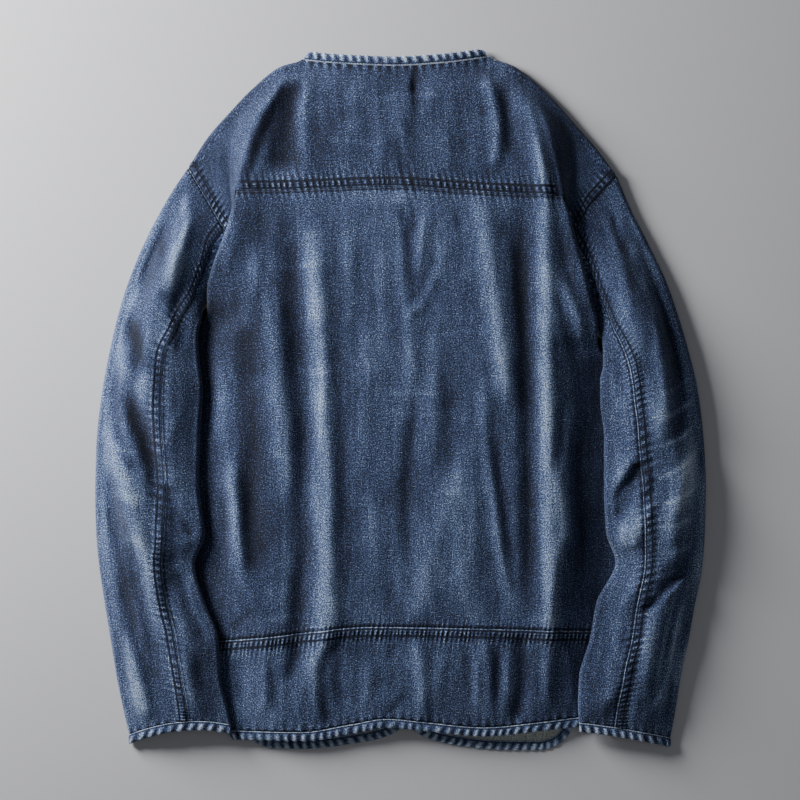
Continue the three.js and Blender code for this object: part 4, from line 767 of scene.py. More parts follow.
def denim(name, stops, contrast=1.0):
    """Denim whose colour follows the tone of the cloth, its fade and painted highlight and shade, with the
    grains and the twill on it.
    """
    material, tree = new_material(name)
    place = add_node(tree, "ShaderNodeUVMap", {"uv_map": "cloth"}).outputs[0]
    times_plus, times, minus = ({"operation": name} for name in ("MULTIPLY_ADD", "MULTIPLY", "SUBTRACT"))
    total = add_node(tree, "ShaderNodeAttribute", {"attribute_name": "tone"}).outputs["Fac"]
    grains = {}
    for grain, (cell_x, cell_y, detail, weight) in GRAINS.items():
        grains[grain] = stretched_noise(tree, place, cell_x, cell_y, detail)
        swing = add_node(tree, "ShaderNodeMath", minus, {0: grains[grain], 1: 0.5}).outputs[0]
        weighed = {0: swing, 1: weight * contrast, 2: total}
        total = add_node(tree, "ShaderNodeMath", times_plus, weighed).outputs[0]
    split = add_node(tree, "ShaderNodeSeparateXYZ", inputs={0: place}).outputs
    across_twill = {0: split[1], 1: TWILL_SLANT, 2: split[0]}
    slant = add_node(tree, "ShaderNodeMath", times_plus, across_twill).outputs[0]
    turns = 2 * math.pi / (TWILL_PITCH / 1000)
    angle = add_node(tree, "ShaderNodeMath", times, {0: slant, 1: turns}).outputs[0]
    twill = add_node(tree, "ShaderNodeMath", {"operation": "SINE"}, {0: angle}).outputs[0]
    total = add_node(
        tree, "ShaderNodeMath", times_plus, {0: twill, 1: TWILL_WEIGHT * contrast, 2: total}
    ).outputs[0]
    colour = faded_colour(tree, total, stops)
    threads = add_node(tree, "ShaderNodeMath", times_plus, {0: twill, 1: 0.35, 2: grains["warp"]}).outputs[0]
    height = add_node(tree, "ShaderNodeMath", times_plus, {0: grains["speck"], 1: 1.2, 2: threads}).outputs[0]
    finish_material(tree, colour, height, depth_mm=0.35, roughness=0.88, sheen=0.12)
    return material


washed_face = denim("washed indigo denim", DENIM_RAMP)
roped_face = denim("roped indigo denim edge", DENIM_RAMP, contrast=0.8)
inside_face = denim(
    "inside of the denim",
    ((0.0, "#171c24"), (0.25, "#5d686c"), (0.5, "#a3adac"), (0.7, "#d3d8d3"), (1.0, "#f0f2ec")),
    contrast=0.9,
)


# Spun thread is uneven from stitch to stitch, in grains of about a millimetre
THREAD_GRAINS_PER_METRE = 900.0


def thread_material(name, stops):
    """Spun cotton thread, matt and uneven in colour."""
    material, tree = new_material(name)
    place = add_node(tree, "ShaderNodeTexCoord").outputs["Object"]
    noise = add_node(
        tree, "ShaderNodeTexNoise", inputs={"Vector": place, "Scale": THREAD_GRAINS_PER_METRE, "Detail": 2.0}
    ).outputs[0]
    colour = faded_colour(tree, noise, stops)
    finish_material(tree, colour, noise, depth_mm=0.1, roughness=0.7, sheen=0.1)
    return material


thread = thread_material(
    "dark indigo sewing thread", ((0.3, "#0e1424"), (0.5, "#1a2338"), (0.75, "#323f58"))
)
faded_thread = thread_material(
    "faded blue sewing thread", ((0.3, "#5b6b88"), (0.5, "#8494ae"), (0.75, "#b3bfce"))
)
print("materials:", [m.name for m in (washed_face, roped_face, inside_face, thread, faded_thread)])

# %% [markdown]
# ## Thread
#
# A lockstitch shows as a row of short, slightly sunk threads with a pinhole between them. Each one is a small
# stretched ball, laid along the cloth just above it. They are copies of one shape with few faces, because
# there are many. The rows follow lines of points that lie on the cloth.


# %% Stitches
def stitch_rows(name, rows, goes_with, colour=None):
    """rows are (points, normals) in the frame, in metres. Makes one object of all their stitches."""
    bm = bmesh.new()
    count = 0
    for points, normals in rows:
        steps = np.linalg.norm(np.diff(points, axis=0), axis=1)
        run = np.insert(np.cumsum(steps), 0, 0)
        centres = np.arange(STITCH_PITCH / 2000, run[-1], STITCH_PITCH / 1000)
        half = STITCH_LENGTH / 2000
        for centre in centres:
            a, b, middle, up = (
                Vector([np.interp(s, run, data[:, k]) for k in range(3)])
                for s, data in (
                    (centre - half, points), (centre + half, points), (centre, points), (centre, normals)
                )
            )
            along = (b - a).normalized()
            up = (up - along * up.dot(along)).normalized()
            side = up.cross(along)
            turn = Matrix((along, side, up)).transposed().to_4x4()
            radius = THREAD_RADIUS / 1000
            size = Matrix.Diagonal((half, radius, radius * 0.8, 1))
            place = Matrix.Translation(middle + up * radius * 0.35)
            bmesh.ops.create_icosphere(bm, subdivisions=1, radius=1, matrix=place @ turn @ size)
            count += 1
    mesh = bpy.data.meshes.new(name)
    bm.to_mesh(mesh)
    bm.free()
    piece = finish_object(name, mesh, [colour or thread], 0)
    goes_with.append(piece)
    print(f"{name}: {count} stitches")


def grid_row(points, index):
    """A row of a grid as a line of stitches: its points and their normals, in the frame."""
    return to_frame(points[index]), grid_normals(points)[index]


def grid_column(points, index):
    """The same for a column of a grid."""
    return to_frame(points[:, index]), grid_normals(points)[:, index]


def on_cloth(points, plan):
    """Points of a plan line, put on a grid of cloth seen from above."""
    rows, columns = points.shape[:2]
    flat = to_frame(points).reshape(-1, 3)
    corner = np.arange(rows * columns).reshape(rows, columns)
    quads = np.stack((corner[:-1, :-1], corner[:-1, 1:], corner[1:, 1:], corner[1:, :-1]), -1).reshape(-1, 4)
    tree = BVHTree.FromPolygons(flat.tolist(), quads.tolist())
    hits, normals = [], []
    for x, y in plan[:, :2]:
        place = to_frame(np.array([x, y, 100.0]))
        hit, normal, _, _ = tree.ray_cast(Vector(place), Vector((0, 0, -1)))
        if hit is not None:
            hits.append(hit)
            normals.append(normal)
    return np.array(hits), np.array(normals)


# %% [markdown]
# ## The back panel
#
# On the real jacket this is one straight panel, cut along the warp. Laid out, its sides fold under, so each
# row runs from the tuck beneath, round the fold, across the top and round the other fold. The height across
# a row falls from the crown in the middle to both edges, with the folds of the photograph on it.

# %% Sections of the back
left_edge = track(LEFT_EDGE, "y")
right_edge = track(RIGHT_EDGE, "y")
crown_at = track(CROWN, "y")
EDGE_NAMES = ("x", "top", "under", "turn", "tuck", "reach")


def seam_reader(rows):
    """Reader of a seam's y by the share of the width across the back."""
    read = track(rows, "across")
    return lambda across: read("y", across)


yoke_seam = seam_reader(YOKE_SEAM)
band_seam = seam_reader(BAND_SEAM)
back_hem = seam_reader(BACK_HEM)


def back_relief(x, y):
    """Height of all the folds of the back at a place, over its plain section."""
    uneven = 0.55 * ripple(x, y / 2.2, 26, 11) + 0.3 * ripple(x, y / 1.6, 11, 12)
    waves = crease_height(BACK_WAVES, x, y)
    return fold_height(BACK_FOLDS, x, y) + waves + crease_height(BACK_CREASES, x, y) + uneven


def cross_height(x, y, left, right):
    """Height of the back between two edges or ridges, given by x, top and reach."""
    crown = crown_at("z", y)
    from_left, from_right = x + left["x"], right["x"] - x
    calm = smooth(np.minimum(from_left, from_right) / EDGE_CALM)
    height = crown + (left["top"] - crown) * fade_out(from_left / left["reach"])
    height = height + (right["top"] - crown) * fade_out(from_right / right["reach"])
    return height + back_relief(x, y) * calm


def back_points(station, y):
    """Points of rows y at stations: -1 to -0.5 left tuck, to 0 left turn, to 1 top, then turn and tuck."""
    left = {name: left_edge(name, y) for name in EDGE_NAMES}
    right = {name: right_edge(name, y) for name in EDGE_NAMES}
    station = np.broadcast_to(station, y.shape)
    left_top = {**left, "x": left["x"] - left["turn"]}
    right_top = {**right, "x": right["x"] - right["turn"]}
    x_top = mix(-left_top["x"], right_top["x"], np.clip(station, 0, 1))
    z_top = cross_height(x_top, y, left_top, right_top)
    edge = {name: np.where(station < 0, left[name], right[name]) for name in EDGE_NAMES}
    past = np.where(station < 0, -station, station - 1)
    angle = np.pi * np.minimum(1, past * 2)
    tucked = np.maximum(0, past * 2 - 1) * edge["tuck"]
    x_side = edge["x"] - edge["turn"] * (1 - np.sin(angle)) - tucked
    z_side = mix(edge["under"], edge["top"], (1 + np.cos(angle)) / 2)
    on_top = (station >= 0) & (station <= 1)
    x = np.where(on_top, x_top, np.where(station < 0, -x_side, x_side))
    return np.stack((x, y, np.where(on_top, z_top, z_side)), -1)


def back_stations(columns):
    return stations((-1, -0.5, 4), (-0.5, 0, 11), (0, 1, columns), (1, 1.5, 11), (1.5, 2, 4))


def shown_above(station):
    """1 on top and on the rounded folds, fading to 0 on the tucks, which lie hidden and stay plain."""
    return smooth((station + 0.3) / 0.2) * smooth((1.3 - station) / 0.2)


FINE = 1.0


def count(cells):
    """Cells of a grid: fewer while trying things out."""
    return max(4, int(round(cells * FINE)))


def rise(points, height, wrap=False):
    """Moves the points out of the cloth by a height in millimetres."""
    return points + grid_normals(points, wrap) * height[..., None]


# %% The back panel's cloth
def body_panel():
    """The back panel between its two seams, a hair's breadth inside both."""
    station = back_stations(count(290))
    across = np.clip(station, 0, 1)
    share = stations((0, 0.05, count(12)), (0.05, 0.95, count(110)), (0.95, 1, count(12)))
    low, high = band_seam(across) + SEAM_GAP, yoke_seam(across) - SEAM_GAP
    y = mix(low[None], high[None], share[:, None])
    points = back_points(station, y)
    x = points[..., 0]
    shown = shown_above(station)
    under_yoke, over_band = y - yoke_seam(across), band_seam(across) - y
    ropes = pucker(x, under_yoke, YOKE_PUCKER, 21) + pucker(x, over_band, BAND_PUCKER, 31)
    points = rise(points, BODY_PUCKER_RISE * ropes * shown)
    relief = back_relief(x, y)
    extra = lap_tone(under_yoke) + lap_tone(over_band) + crease_height(BACK_RUBS_AND_PAINTED_LIGHT, x, y)
    # Painted shade: darker towards both sides, where the back runs down under the sleeves, and over its left
    # part beside the left sleeve
    extra = extra - 0.1 * smooth((np.abs(x) - 165) / 45) - 0.09 * smooth((-x - 118) / 16)
    tone = wash_and_painted_light(relief, ropes, extra, x, y, 41)
    cloth_grid("back_body_cloth", points, tone, [washed_face, inside_face])


body_panel()
body_extras = []

# %% [markdown]
# ## The hem band
#
# A separate deep band is lapped over the lower edge of the back panel, with two rows of stitches below the
# seam. It is pulled in slightly by its own turned edge, so its folds are short and fan out downwards.


# %% The hem band's cloth
def band_panel():
    """The hem band, from its lap to the turned edge. Returns its grid and its rows of stitches."""
    station = back_stations(count(380))
    across = np.clip(station, 0, 1)
    gap = STRIP_WIDTH + 2 * SEAM_GAP
    lap = np.array([0, 0.7, 1.5, 2.4, 3.4, 4.4, 5.3, 6.2, 7.1, 8, 9, 9.8, 10.8, 12.5])
    fall = stations((0, 1, count(42)))[1:]
    seam = band_seam(across)[None]
    first = seam - lap[:, None]
    rest = mix(seam - lap[-1], back_hem(across)[None] + gap, fall[:, None])
    y = np.concatenate((first, rest))[::-1]
    points = back_points(station, y)
    x = points[..., 0]
    inside = seam - y
    shown = shown_above(station)
    from_hem = y - (back_hem(across)[None] + gap)
    hem_ropes = np.exp(-from_hem / 5) * rope(x, 1.0, 51)
    ropes = pucker(x, inside, BAND_PUCKER, 31)
    points = rise(points, (lap_rise(inside) + PUCKER_RISE * ropes + 0.35 * hem_ropes) * shown)
    extra = lap_tone(inside) + crease_height(BACK_RUBS_AND_PAINTED_LIGHT, x, y) - 0.1 * np.exp(-from_hem / 2)
    # Painted shade, as on the back panel: darker towards both sides, where the band runs down under the
    # sleeves
    extra = extra - 0.1 * smooth((np.abs(x) - 160) / 40)
    tone = wash_and_painted_light(back_relief(x, y), ropes + 0.6 * hem_ropes, extra, x, y, 43)
    cloth_grid("back_hem_band_cloth", points, tone, [washed_face, inside_face])
    rows = [len(y) - 1 - i for i, d in enumerate(lap) if d in LAP_ROWS]
    return points, rows


band_points, band_rows = band_panel()
band_extras = []
stitch_rows("band_stitches", [grid_row(band_points, i) for i in band_rows], band_extras)

# %% [markdown]
# ## The yoke
#
# The yoke is a four-sided piece between the armholes, the lower seam and the neck and shoulders. Each of its
# columns runs from the lower edge to the upper one and bows with the armhole beside it. At the shoulders its
# upper edge rolls over to the front, and at the neck it stops at the turned edge.

# %% Sections of the yoke
ridge_of = {"left": track(LEFT_RIDGE, "y"), "right": track(RIGHT_RIDGE, "y")}


def yoke_height(x, y):
    """Height of the yoke: like the back between its ridges, and falling outside them."""
    names = ("x", "top", "reach", "flank", "low")
    left, right = ({name: ridge_of[side](name, y) for name in names} for side in ("left", "right"))
    height = cross_height(x, y, left, right)
    past_left, past_right = -left["x"] - x, x - right["x"]
    outside_left = mix(left["low"], left["top"], fade_out(past_left / left["flank"]))
    outside_right = mix(right["low"], right["top"], fade_out(past_right / right["flank"]))
    height = np.where(past_left > 0, outside_left, height)
    height = np.where(past_right > 0, outside_right, height)
    past = np.maximum(past_left, past_right)
    return height + crease_height(BACK_CREASES, x, y) * smooth(past / 12) * 0.8


left_arm, right_arm = path_of(mirrored(LEFT_ARMHOLE)), path_of(RIGHT_ARMHOLE)
LEFT_ARM_SHOWN, RIGHT_ARM_SHOWN = left_arm.shares[3], right_arm.shares[4]
LOWER_FROM, LOWER_TO = 0.15, 0.85
NECK_FROM, NECK_TO = 0.34, 0.68
SHOULDER = {"top": 9.5, "under": 0, "turn": 4.5, "tuck": 9}
TURN_FADE = 0.07
BOW_SHARE = 0.6
GAP_SHARE = 0.02
# Rows of the upper edge: distance inside it, and how far past its start the cloth has turned
YOKE_EDGE = table("inside past", ((7, 0), (5, 0.14), (3, 0.3), (1.5, 0.5), (0.7, 1), (0, 2)))

back_neck = path_of(BACK_NECK)
left_yoke_end, right_yoke_end = path_of(mirrored(LEFT_YOKE_END)), path_of(RIGHT_YOKE_END)
left_shoulder, right_shoulder = path_of(mirrored(LEFT_SHOULDER)), path_of(RIGHT_SHOULDER)


def yoke_lower(u):
    """The yoke's lower edge: the left armhole's foot, the seam, and the right armhole's foot."""
    if u <= LOWER_FROM:
        return left_yoke_end(np.array(u / LOWER_FROM))
    if u <= LOWER_TO:
        across = np.array((u - LOWER_FROM) / (LOWER_TO - LOWER_FROM))
        y = yoke_seam(across)
        return np.array([mix(-left_edge("x", y), right_edge("x", y), across), y + SEAM_GAP / 2])
    return right_yoke_end(np.array((1 - u) / (1 - LOWER_TO)))


def yoke_upper(u):
    """The yoke's upper edge: left shoulder, neck, and right shoulder."""
    if u <= NECK_FROM:
        return left_shoulder(np.array(u / NECK_FROM))
    if u <= NECK_TO:
        return beside(back_neck, np.array((u - NECK_FROM) / (NECK_TO - NECK_FROM)), -(STRIP_WIDTH + SEAM_GAP))
    return right_shoulder(np.array((1 - u) / (1 - NECK_TO)))


def yoke_column(u, laps, climb, past):
    """A column of the yoke: its points, and their distances from the lower seam."""
    low, high = yoke_lower(u), yoke_upper(u)
    leftward = u < 0.5
    arm, shown = (left_arm, LEFT_ARM_SHOWN) if leftward else (right_arm, RIGHT_ARM_SHOWN)
    side_share = (u if leftward else 1 - u) / 0.5
    bow = fade_out(side_share / BOW_SHARE)
    foot, head = arm(np.array(shown)), arm(np.array(0.0))
    length = math.hypot(high[0] - low[0], high[1] - low[1])
    turned = smooth((NECK_FROM - u) / TURN_FADE) if leftward else smooth((u - NECK_TO) / TURN_FADE)
    edge_z = mix(high[2] if len(high) > 2 else BACK_NECK["z"][0], SHOULDER["top"], turned)
    band_share = (SHOULDER["turn"] + YOKE_EDGE["inside"][0]) / length
    gap = max(0, 1 - side_share / GAP_SHARE) * 2.5 * SEAM_GAP * (1 if leftward else -1)

    def place(v):
        seam = arm(mix(shown, 0, v))
        return [mix(low[k], high[k], v) + bow * (seam[..., k] - mix(foot[k], head[k], v)) for k in (0, 1)]

    def height_at(x, y, v):
        return mix(edge_z, yoke_height(x, y), smooth((1 - v) * length / YOKE_EDGE_CALM))

    v = np.concatenate((laps / length, mix(laps[-1] / length, 1 - band_share, climb)))
    x, y = place(v)
    lower = np.stack((x + gap, y, height_at(x, y, v)), -1)
    inward = np.array([c - high[k] for k, c in enumerate(place(np.array(1 - band_share)))])
    inward = inward / np.hypot(*inward)
    inside = track(YOKE_EDGE, "past")("inside", past)
    angle = np.pi * np.minimum(1, past)
    round_in = SHOULDER["turn"] * (1 - np.sin(angle)) + np.maximum(0, past - 1) * SHOULDER["tuck"]
    in_by = mix(inside, round_in, turned)
    flat_z = height_at(np.full(past.shape, high[0]), np.full(past.shape, high[1]), 1 - inside / length)
    round_z = mix(SHOULDER["under"], SHOULDER["top"], (1 + np.cos(angle)) / 2)
    upper = np.stack(
        (high[0] + inward[0] * in_by + gap, high[1] + inward[1] * in_by, mix(flat_z, round_z, turned)), -1
    )
    return np.concatenate((lower, upper)), np.concatenate((v * length, np.full(past.shape, length)))


# %% The yoke's cloth
# A distance into a lap that is past everything a seam does to the cloth
FAR_INSIDE = 99


def yoke_panel():
    """The yoke with its laps. Returns its grid and its rows of stitches along the lower seam."""
    laps = np.array([0, 0.7, 1.5, 2.4, 3.6, 5, 6.2, 7.4, 8.2, 9, 9.8, 10.8, 12.5])
    climb = stations((0, 1, count(50)))[1:]
    past = stations((0, 1, 8), (1, 2, 3))
    u_stops = stations(
        (0, 0.05, count(22)), (0.05, LOWER_FROM, count(28)), (LOWER_FROM, NECK_FROM, count(70)),
        (NECK_FROM, NECK_TO, count(150)), (NECK_TO, LOWER_TO, count(64)), (LOWER_TO, 0.95, count(28)),
        (0.95, 1, count(22)),
    )
    columns = [yoke_column(u, laps, climb, past) for u in u_stops]
    points = np.stack([column[0] for column in columns], 1)
    from_seam = np.stack([column[1] for column in columns], 1)
    turned_rows = np.arange(points.shape[0])[:, None] > points.shape[0] - len(past) + 2
    to_left = np.linalg.norm(points - points[:, :1], axis=-1)
    to_right = np.linalg.norm(points - points[:, -1:], axis=-1)
    side = np.minimum(to_left, to_right)
    on_seam = ((u_stops > LOWER_FROM - 0.01) & (u_stops < LOWER_TO + 0.01))[None]
    x, y = points[..., 0], points[..., 1]
    seam_lap = np.where(on_seam, from_seam, FAR_INSIDE)
    lifted = np.where(turned_rows, 0, np.maximum(lap_rise(side), lap_rise(seam_lap)))
    fade_in = smooth((u_stops - LOWER_FROM) / 0.03) * smooth((LOWER_TO - u_stops) / 0.03)
    ropes = pucker(x, seam_lap, YOKE_PUCKER, 21) * fade_in[None]
    run = lengths_along(points[:, :1], 0)
    arm_ropes = pucker(np.broadcast_to(run, side.shape), side, YOKE_PUCKER, 61) * (side < 30)
    ropes = np.where(turned_rows, 0, ropes + arm_ropes)
    to_neck = np.linalg.norm(points - points[-1:], axis=-1)
    by_neck = ((u_stops > NECK_FROM) & (u_stops < NECK_TO))[None] * np.exp(-to_neck / 4)
    neck_ropes = by_neck * rope(x, 1.0, 71)
    points = rise(points, lifted + PUCKER_RISE * ropes + 0.3 * neck_ropes)
    extra = lap_tone(seam_lap) * fade_in[None] + lap_tone(side) + crease_height(BACK_RUBS_AND_PAINTED_LIGHT, x, y)
    extra = extra - 0.09 + 0.05 * smooth((y - 330) / 30) - 0.12 * by_neck
    tone = wash_and_painted_light(back_relief(x, y), ropes + neck_ropes, extra, x, y, 41)
    cloth_grid("back_yoke_cloth", points, tone, [washed_face, inside_face])
    inside = np.flatnonzero(on_seam[0])
    rows = [i for i, d in enumerate(laps) if d in LAP_ROWS]
    seams = [tuple(a[inside] for a in grid_row(points, i)) for i in rows]
    return points, seams


yoke_points, yoke_seams = yoke_panel()
yoke_extras = []
for arm, shown, sign in ((left_arm, LEFT_ARM_SHOWN, 1), (right_arm, RIGHT_ARM_SHOWN, -1)):
    for aside in LAP_ROWS:
        line = beside(arm, np.linspace(0.03, shown * 0.99, 120), sign * (aside + 2.5 * SEAM_GAP))
        yoke_seams.append(on_cloth(yoke_points, line))
stitch_rows("yoke_stitches", yoke_seams, yoke_extras)

# %% [markdown]
# ## The sleeves
#
# Each sleeve is a tube folded flat, made of two pieces: a wider one over the outer fold and a narrower one at
# the inner fold. A ring of the tube goes along the underside and back over the top. The wider piece is lapped
# over the narrower one in a seam that swings down the sleeve, and a second seam lies hidden underneath.

# %% Sections of the sleeves


def across_ring(u, heights):
    """Smooth height across a ring through four heights, at its folds and at each third."""
    stops = np.array([0, 0.33, 0.67, 1])
    rate = [(heights[k + 1] - heights[k]) / (stops[k + 1] - stops[k]) for k in range(3)]
    slopes = [rate[0], harmonic(rate[0], rate[1]), harmonic(rate[1], rate[2]), rate[2]]
    result = np.zeros(u.shape)
    for k in range(3):
        length = stops[k + 1] - stops[k]
        t = np.clip((u - stops[k]) / length, 0, 1)
        piece = hermite(heights[k], heights[k + 1], slopes[k] * length, slopes[k + 1] * length, t)
        result = np.where(u >= stops[k], piece, result)
    return result


RING_NAMES = ("ox", "oy", "ix", "iy", "bow", "seam", "z0", "z1", "z2", "z3", "lift")


def sleeve_relief(kind, x, y):
    """Height of all the folds of a sleeve at a place."""
    uneven = 0.5 * ripple(x, y / 2, 21, kind["seed"]) + 0.28 * ripple(x, y / 1.5, 9, kind["seed"] + 1)
    waves = crease_height(kind["waves"], x, y)
    return fold_height(kind["folds"], x, y) + waves + crease_height(kind["creases"], x, y) + uneven


def sleeve_points(kind, ring, part):
    """Points of rings (a column of values) at parts: -1 to 0 underside, from the inner fold, 0 to 1 top."""
    at = kind["at"]
    row = {name: at(name, ring) for name in RING_NAMES}
    part = np.broadcast_to(part, np.broadcast(ring, part).shape)
    head, foot = kind["arm"](np.array(0.0)), kind["arm"](np.array(1.0))

    def plan(u):
        seam = kind["arm"](np.clip(u, 0, 1))
        at_cuff = kind["cuff_bow"] * smooth((ring - 0.7) / 0.3) * 4 * u * (1 - u)
        x = mix(-row["ox"], -row["ix"], u) + row["bow"] * (seam[..., 0] - mix(head[0], foot[0], u))
        y = mix(row["oy"], row["iy"], u) + row["bow"] * (seam[..., 1] - mix(head[1], foot[1], u)) + at_cuff
        return x, y

    width = np.hypot(row["ox"] - row["ix"], row["oy"] - row["iy"])
    outer_turn = np.minimum(6, row["z0"] * 0.55) / width
    inner_turn = np.minimum(5.5, (row["z3"] - row["lift"]) * 0.5) / width
    over = np.where(part >= 0, 1, -1)
    p = np.abs(part)
    outer_angle = np.pi / 2 * (1 - np.clip(p / TURN, 0, 1))
    inner_angle = np.pi / 2 * (1 - np.clip((1 - p) / TURN, 0, 1))
    t = np.clip((p - TURN) / (1 - 2 * TURN), 0, 1)
    u = mix(outer_turn, 1 - inner_turn, t)
    u = np.where(p < TURN, outer_turn * (1 - np.sin(outer_angle)), u)
    u = np.where(p > 1 - TURN, 1 - inner_turn * (1 - np.sin(inner_angle)), u)
    x, y = plan(u)
    calm = smooth(t / SIDE_CALM) * smooth((1 - t) / SIDE_CALM) * smooth(ring / HEAD_CALM)
    relief = sleeve_relief(kind, -x, y)
    top = across_ring(t, [row[name] + 0 * t for name in ("z0", "z1", "z2", "z3")]) + calm * relief
    under = row["lift"] * smooth((t - (1 - LIFT_FADE)) / (LIFT_FADE * 0.8))
    z = np.where(over > 0, top, under)
    z = np.where(p < TURN, row["z0"] / 2 * (1 + over * np.cos(outer_angle)), z)
    middle = (row["z3"] + row["lift"]) / 2
    z = np.where(p > 1 - TURN, middle + over * (middle - row["lift"]) * np.cos(inner_angle), z)
    return np.stack((x, y, z), -1), relief * calm * (over > 0), width


def part_of(u):
    """Place on a ring of a share of its flat side, between the two rounded folds."""
    return mix(TURN, 1 - TURN, u)


def sleeve_kind(rows, armhole, cuff_bow, folds, waves, creases, rubs_and_painted_shade, worn, seed, mirror):
    """All that makes one sleeve differ from the other. worn is how much paler it is."""
    rows = {**rows, "ring": np.linspace(0, 1, len(rows["ox"]))}
    return {
        "at": track(rows, "ring"), "arm": path_of(mirrored(armhole)), "cuff_bow": cuff_bow, "folds": folds,
        "waves": waves, "creases": creases, "rubs_and_painted_shade": rubs_and_painted_shade, "worn": worn, "seed": seed, "mirror": mirror,
        "length": np.hypot(np.diff(rows["ox"]), np.diff(rows["oy"])).sum(),
    }


def sided(kind, grid):
    """The right sleeve is made like the left one, and then mirrored with its columns turned round."""
    if not kind["mirror"]:
        return grid
    turned = grid[:, ::-1].copy()
    if turned.ndim == 3:
        turned[..., 0] *= -1
    return turned


def sleeve_extras(kind, points, inside, along):
    """Puckers, fades and a painted shade along the inner fold that both pieces of a sleeve share, from their
    distance to the seam.
    """
    x, y = -points[..., 0], points[..., 1]
    from_head, from_cuff = along, kind["length"] - along
    ropes = pucker(along, inside, SLEEVE_PUCKER, kind["seed"] + 5)
    head = np.exp(-from_head / 5) * np.sin(2 * np.pi * (x + y) / YOKE_PUCKER)
    cuff = np.exp(-from_cuff / 5) * rope(x, 1.0, kind["seed"] + 7)
    extra = lap_tone(inside) + crease_height(kind["rubs_and_painted_shade"], x, y) - 0.12 * np.exp(-from_cuff / 2.5)
    # Slightly paler along the crest; darker along the inner fold, a painted shade where the sleeve turns down
    # beside the back
    extra = extra + 0.04 * bump(x, 285, 30) - 0.12 * bump(x, 205, 14)
    return ropes, 0.7 * head + 0.7 * cuff, extra + kind["worn"] - 0.15 * np.exp(-from_head / 4)


# %% A sleeve's two pieces
def sleeve_rings(kind):
    """Rings from cuff to head, where the seam lies on each, and how much of a ring one millimetre is."""
    rings = stations((1, 0.97, count(12)), (0.97, 0, count(300)))[:, None]
    _, _, width = sleeve_points(kind, rings, np.array([[0.5]]))
    return rings, part_of(kind["at"]("seam", rings)), (1 - 2 * TURN) / width


def sleeve_cloth(kind, name, rings, part, inside, over, lapped):
    """One piece, from the parts of its columns and their distance into the lap. over is 1 on the top side."""
    points, relief, _ = sleeve_points(kind, rings, part)
    along = rings * kind["length"] + 0 * part
    ropes, ends, extra = sleeve_extras(kind, points, inside, along)
    points = rise(points, (lapped + PUCKER_RISE * ropes + 0.3 * ends) * over)
    tone = wash_and_painted_light(relief, 0.7 * ropes + ends, extra, -points[..., 0], points[..., 1], kind["seed"] + 9)
    points, tone = sided(kind, points), sided(kind, tone)
    cloth_grid(name, points, tone, [washed_face, inside_face])
    return points


def sleeve_top(kind, side):
    """The wider piece, with its lap. Returns its two rows of stitches."""
    rings, seam_at, per_mm = sleeve_rings(kind)
    laps = np.array([14, 12.5, 10.8, 9.8, 9, 8.2, 7, 5.8, 4.6, 3.4, 2.3, 1.5, 0.7, 0.0])
    under = -(part_of(UNDER_SEAM) - SEAM_GAP * per_mm)
    start = np.broadcast_to(under, rings.shape)
    lap_parts = seam_at - (laps[None] + SEAM_GAP / 2) * per_mm
    folds = stations((-TURN, TURN, 18))[None] + 0 * rings
    part = np.concatenate((
        mix(start, -TURN, stations((0, 1, count(24)))[None, :-1]), folds,
        mix(TURN, lap_parts[:, :1], stations((0, 1, count(36)))[None, 1:-1]), lap_parts,
    ), 1)
    inside = np.where(part > 0, (seam_at - part) / per_mm, 60)
    lapped = np.where(inside < 20, lap_rise(inside), 0)
    over = smooth((part - 0.02) / 0.1)
    points = sleeve_cloth(kind, f"sleeve_top_{side}_cloth", rings, part, inside, over, lapped)
    columns = [part.shape[1] - len(laps) + i for i, d in enumerate(laps) if d in LAP_ROWS]
    if kind["mirror"]:
        columns = [part.shape[1] - 1 - i for i in columns]
    return [grid_column(points, i) for i in columns]


def sleeve_under(kind, side):
    """The narrower piece, from the lapped seam round the inner fold to the seam underneath."""
    rings, seam_at, per_mm = sleeve_rings(kind)
    first = seam_at + SEAM_GAP / 2 * per_mm
    last = -(part_of(UNDER_SEAM) + SEAM_GAP * per_mm)
    part = np.concatenate((
        mix(first, 1 - TURN, stations((0, 1, count(18)))[None, :-1]),
        stations((1 - TURN, 1, 9))[None] + 0 * rings, -stations((1, 1 - TURN, 9))[None, 1:] + 0 * rings,
        mix(TURN - 1, last, stations((0, 1, count(8)))[None, 1:]),
    ), 1)
    inside = np.where(part > 0, (seam_at - part) / per_mm, -60)
    over = (part > 0) * smooth((0.98 - part) / 0.06)
    sleeve_cloth(kind, f"sleeve_under_{side}_cloth", rings, part, inside, over, 0)


left_kind = sleeve_kind(
    LEFT_SLEEVE, LEFT_ARMHOLE, LEFT_CUFF_BOW, LEFT_SLEEVE_FOLDS, LEFT_SLEEVE_WAVES, LEFT_SLEEVE_CREASES,
    LEFT_RUBS_AND_PAINTED_SHADE, 0.05, 101, False
)
right_kind = sleeve_kind(
    RIGHT_SLEEVE, RIGHT_ARMHOLE, RIGHT_CUFF_BOW, RIGHT_SLEEVE_FOLDS, RIGHT_SLEEVE_WAVES, RIGHT_SLEEVE_CREASES,
    RIGHT_RUBS_AND_PAINTED_SHADE, 0.03, 131, True
)
sleeve_threads = {"left": [], "right": []}
for side, kind in (("left", left_kind), ("right", right_kind)):
    stitch_rows(f"sleeve_stitches_{side}", sleeve_top(kind, side), sleeve_threads[side])
    sleeve_under(kind, side)

# %% [markdown]
# ## Turned edges
#
# Neck, hem, front edges and cuffs are only turned twice and stitched, about a centimetre wide. Washing twists
# them into slanting ropes, the most telling detail of the jacket, so they are fine strips of their own with
# the ropes as real relief.

# %% Roped strips


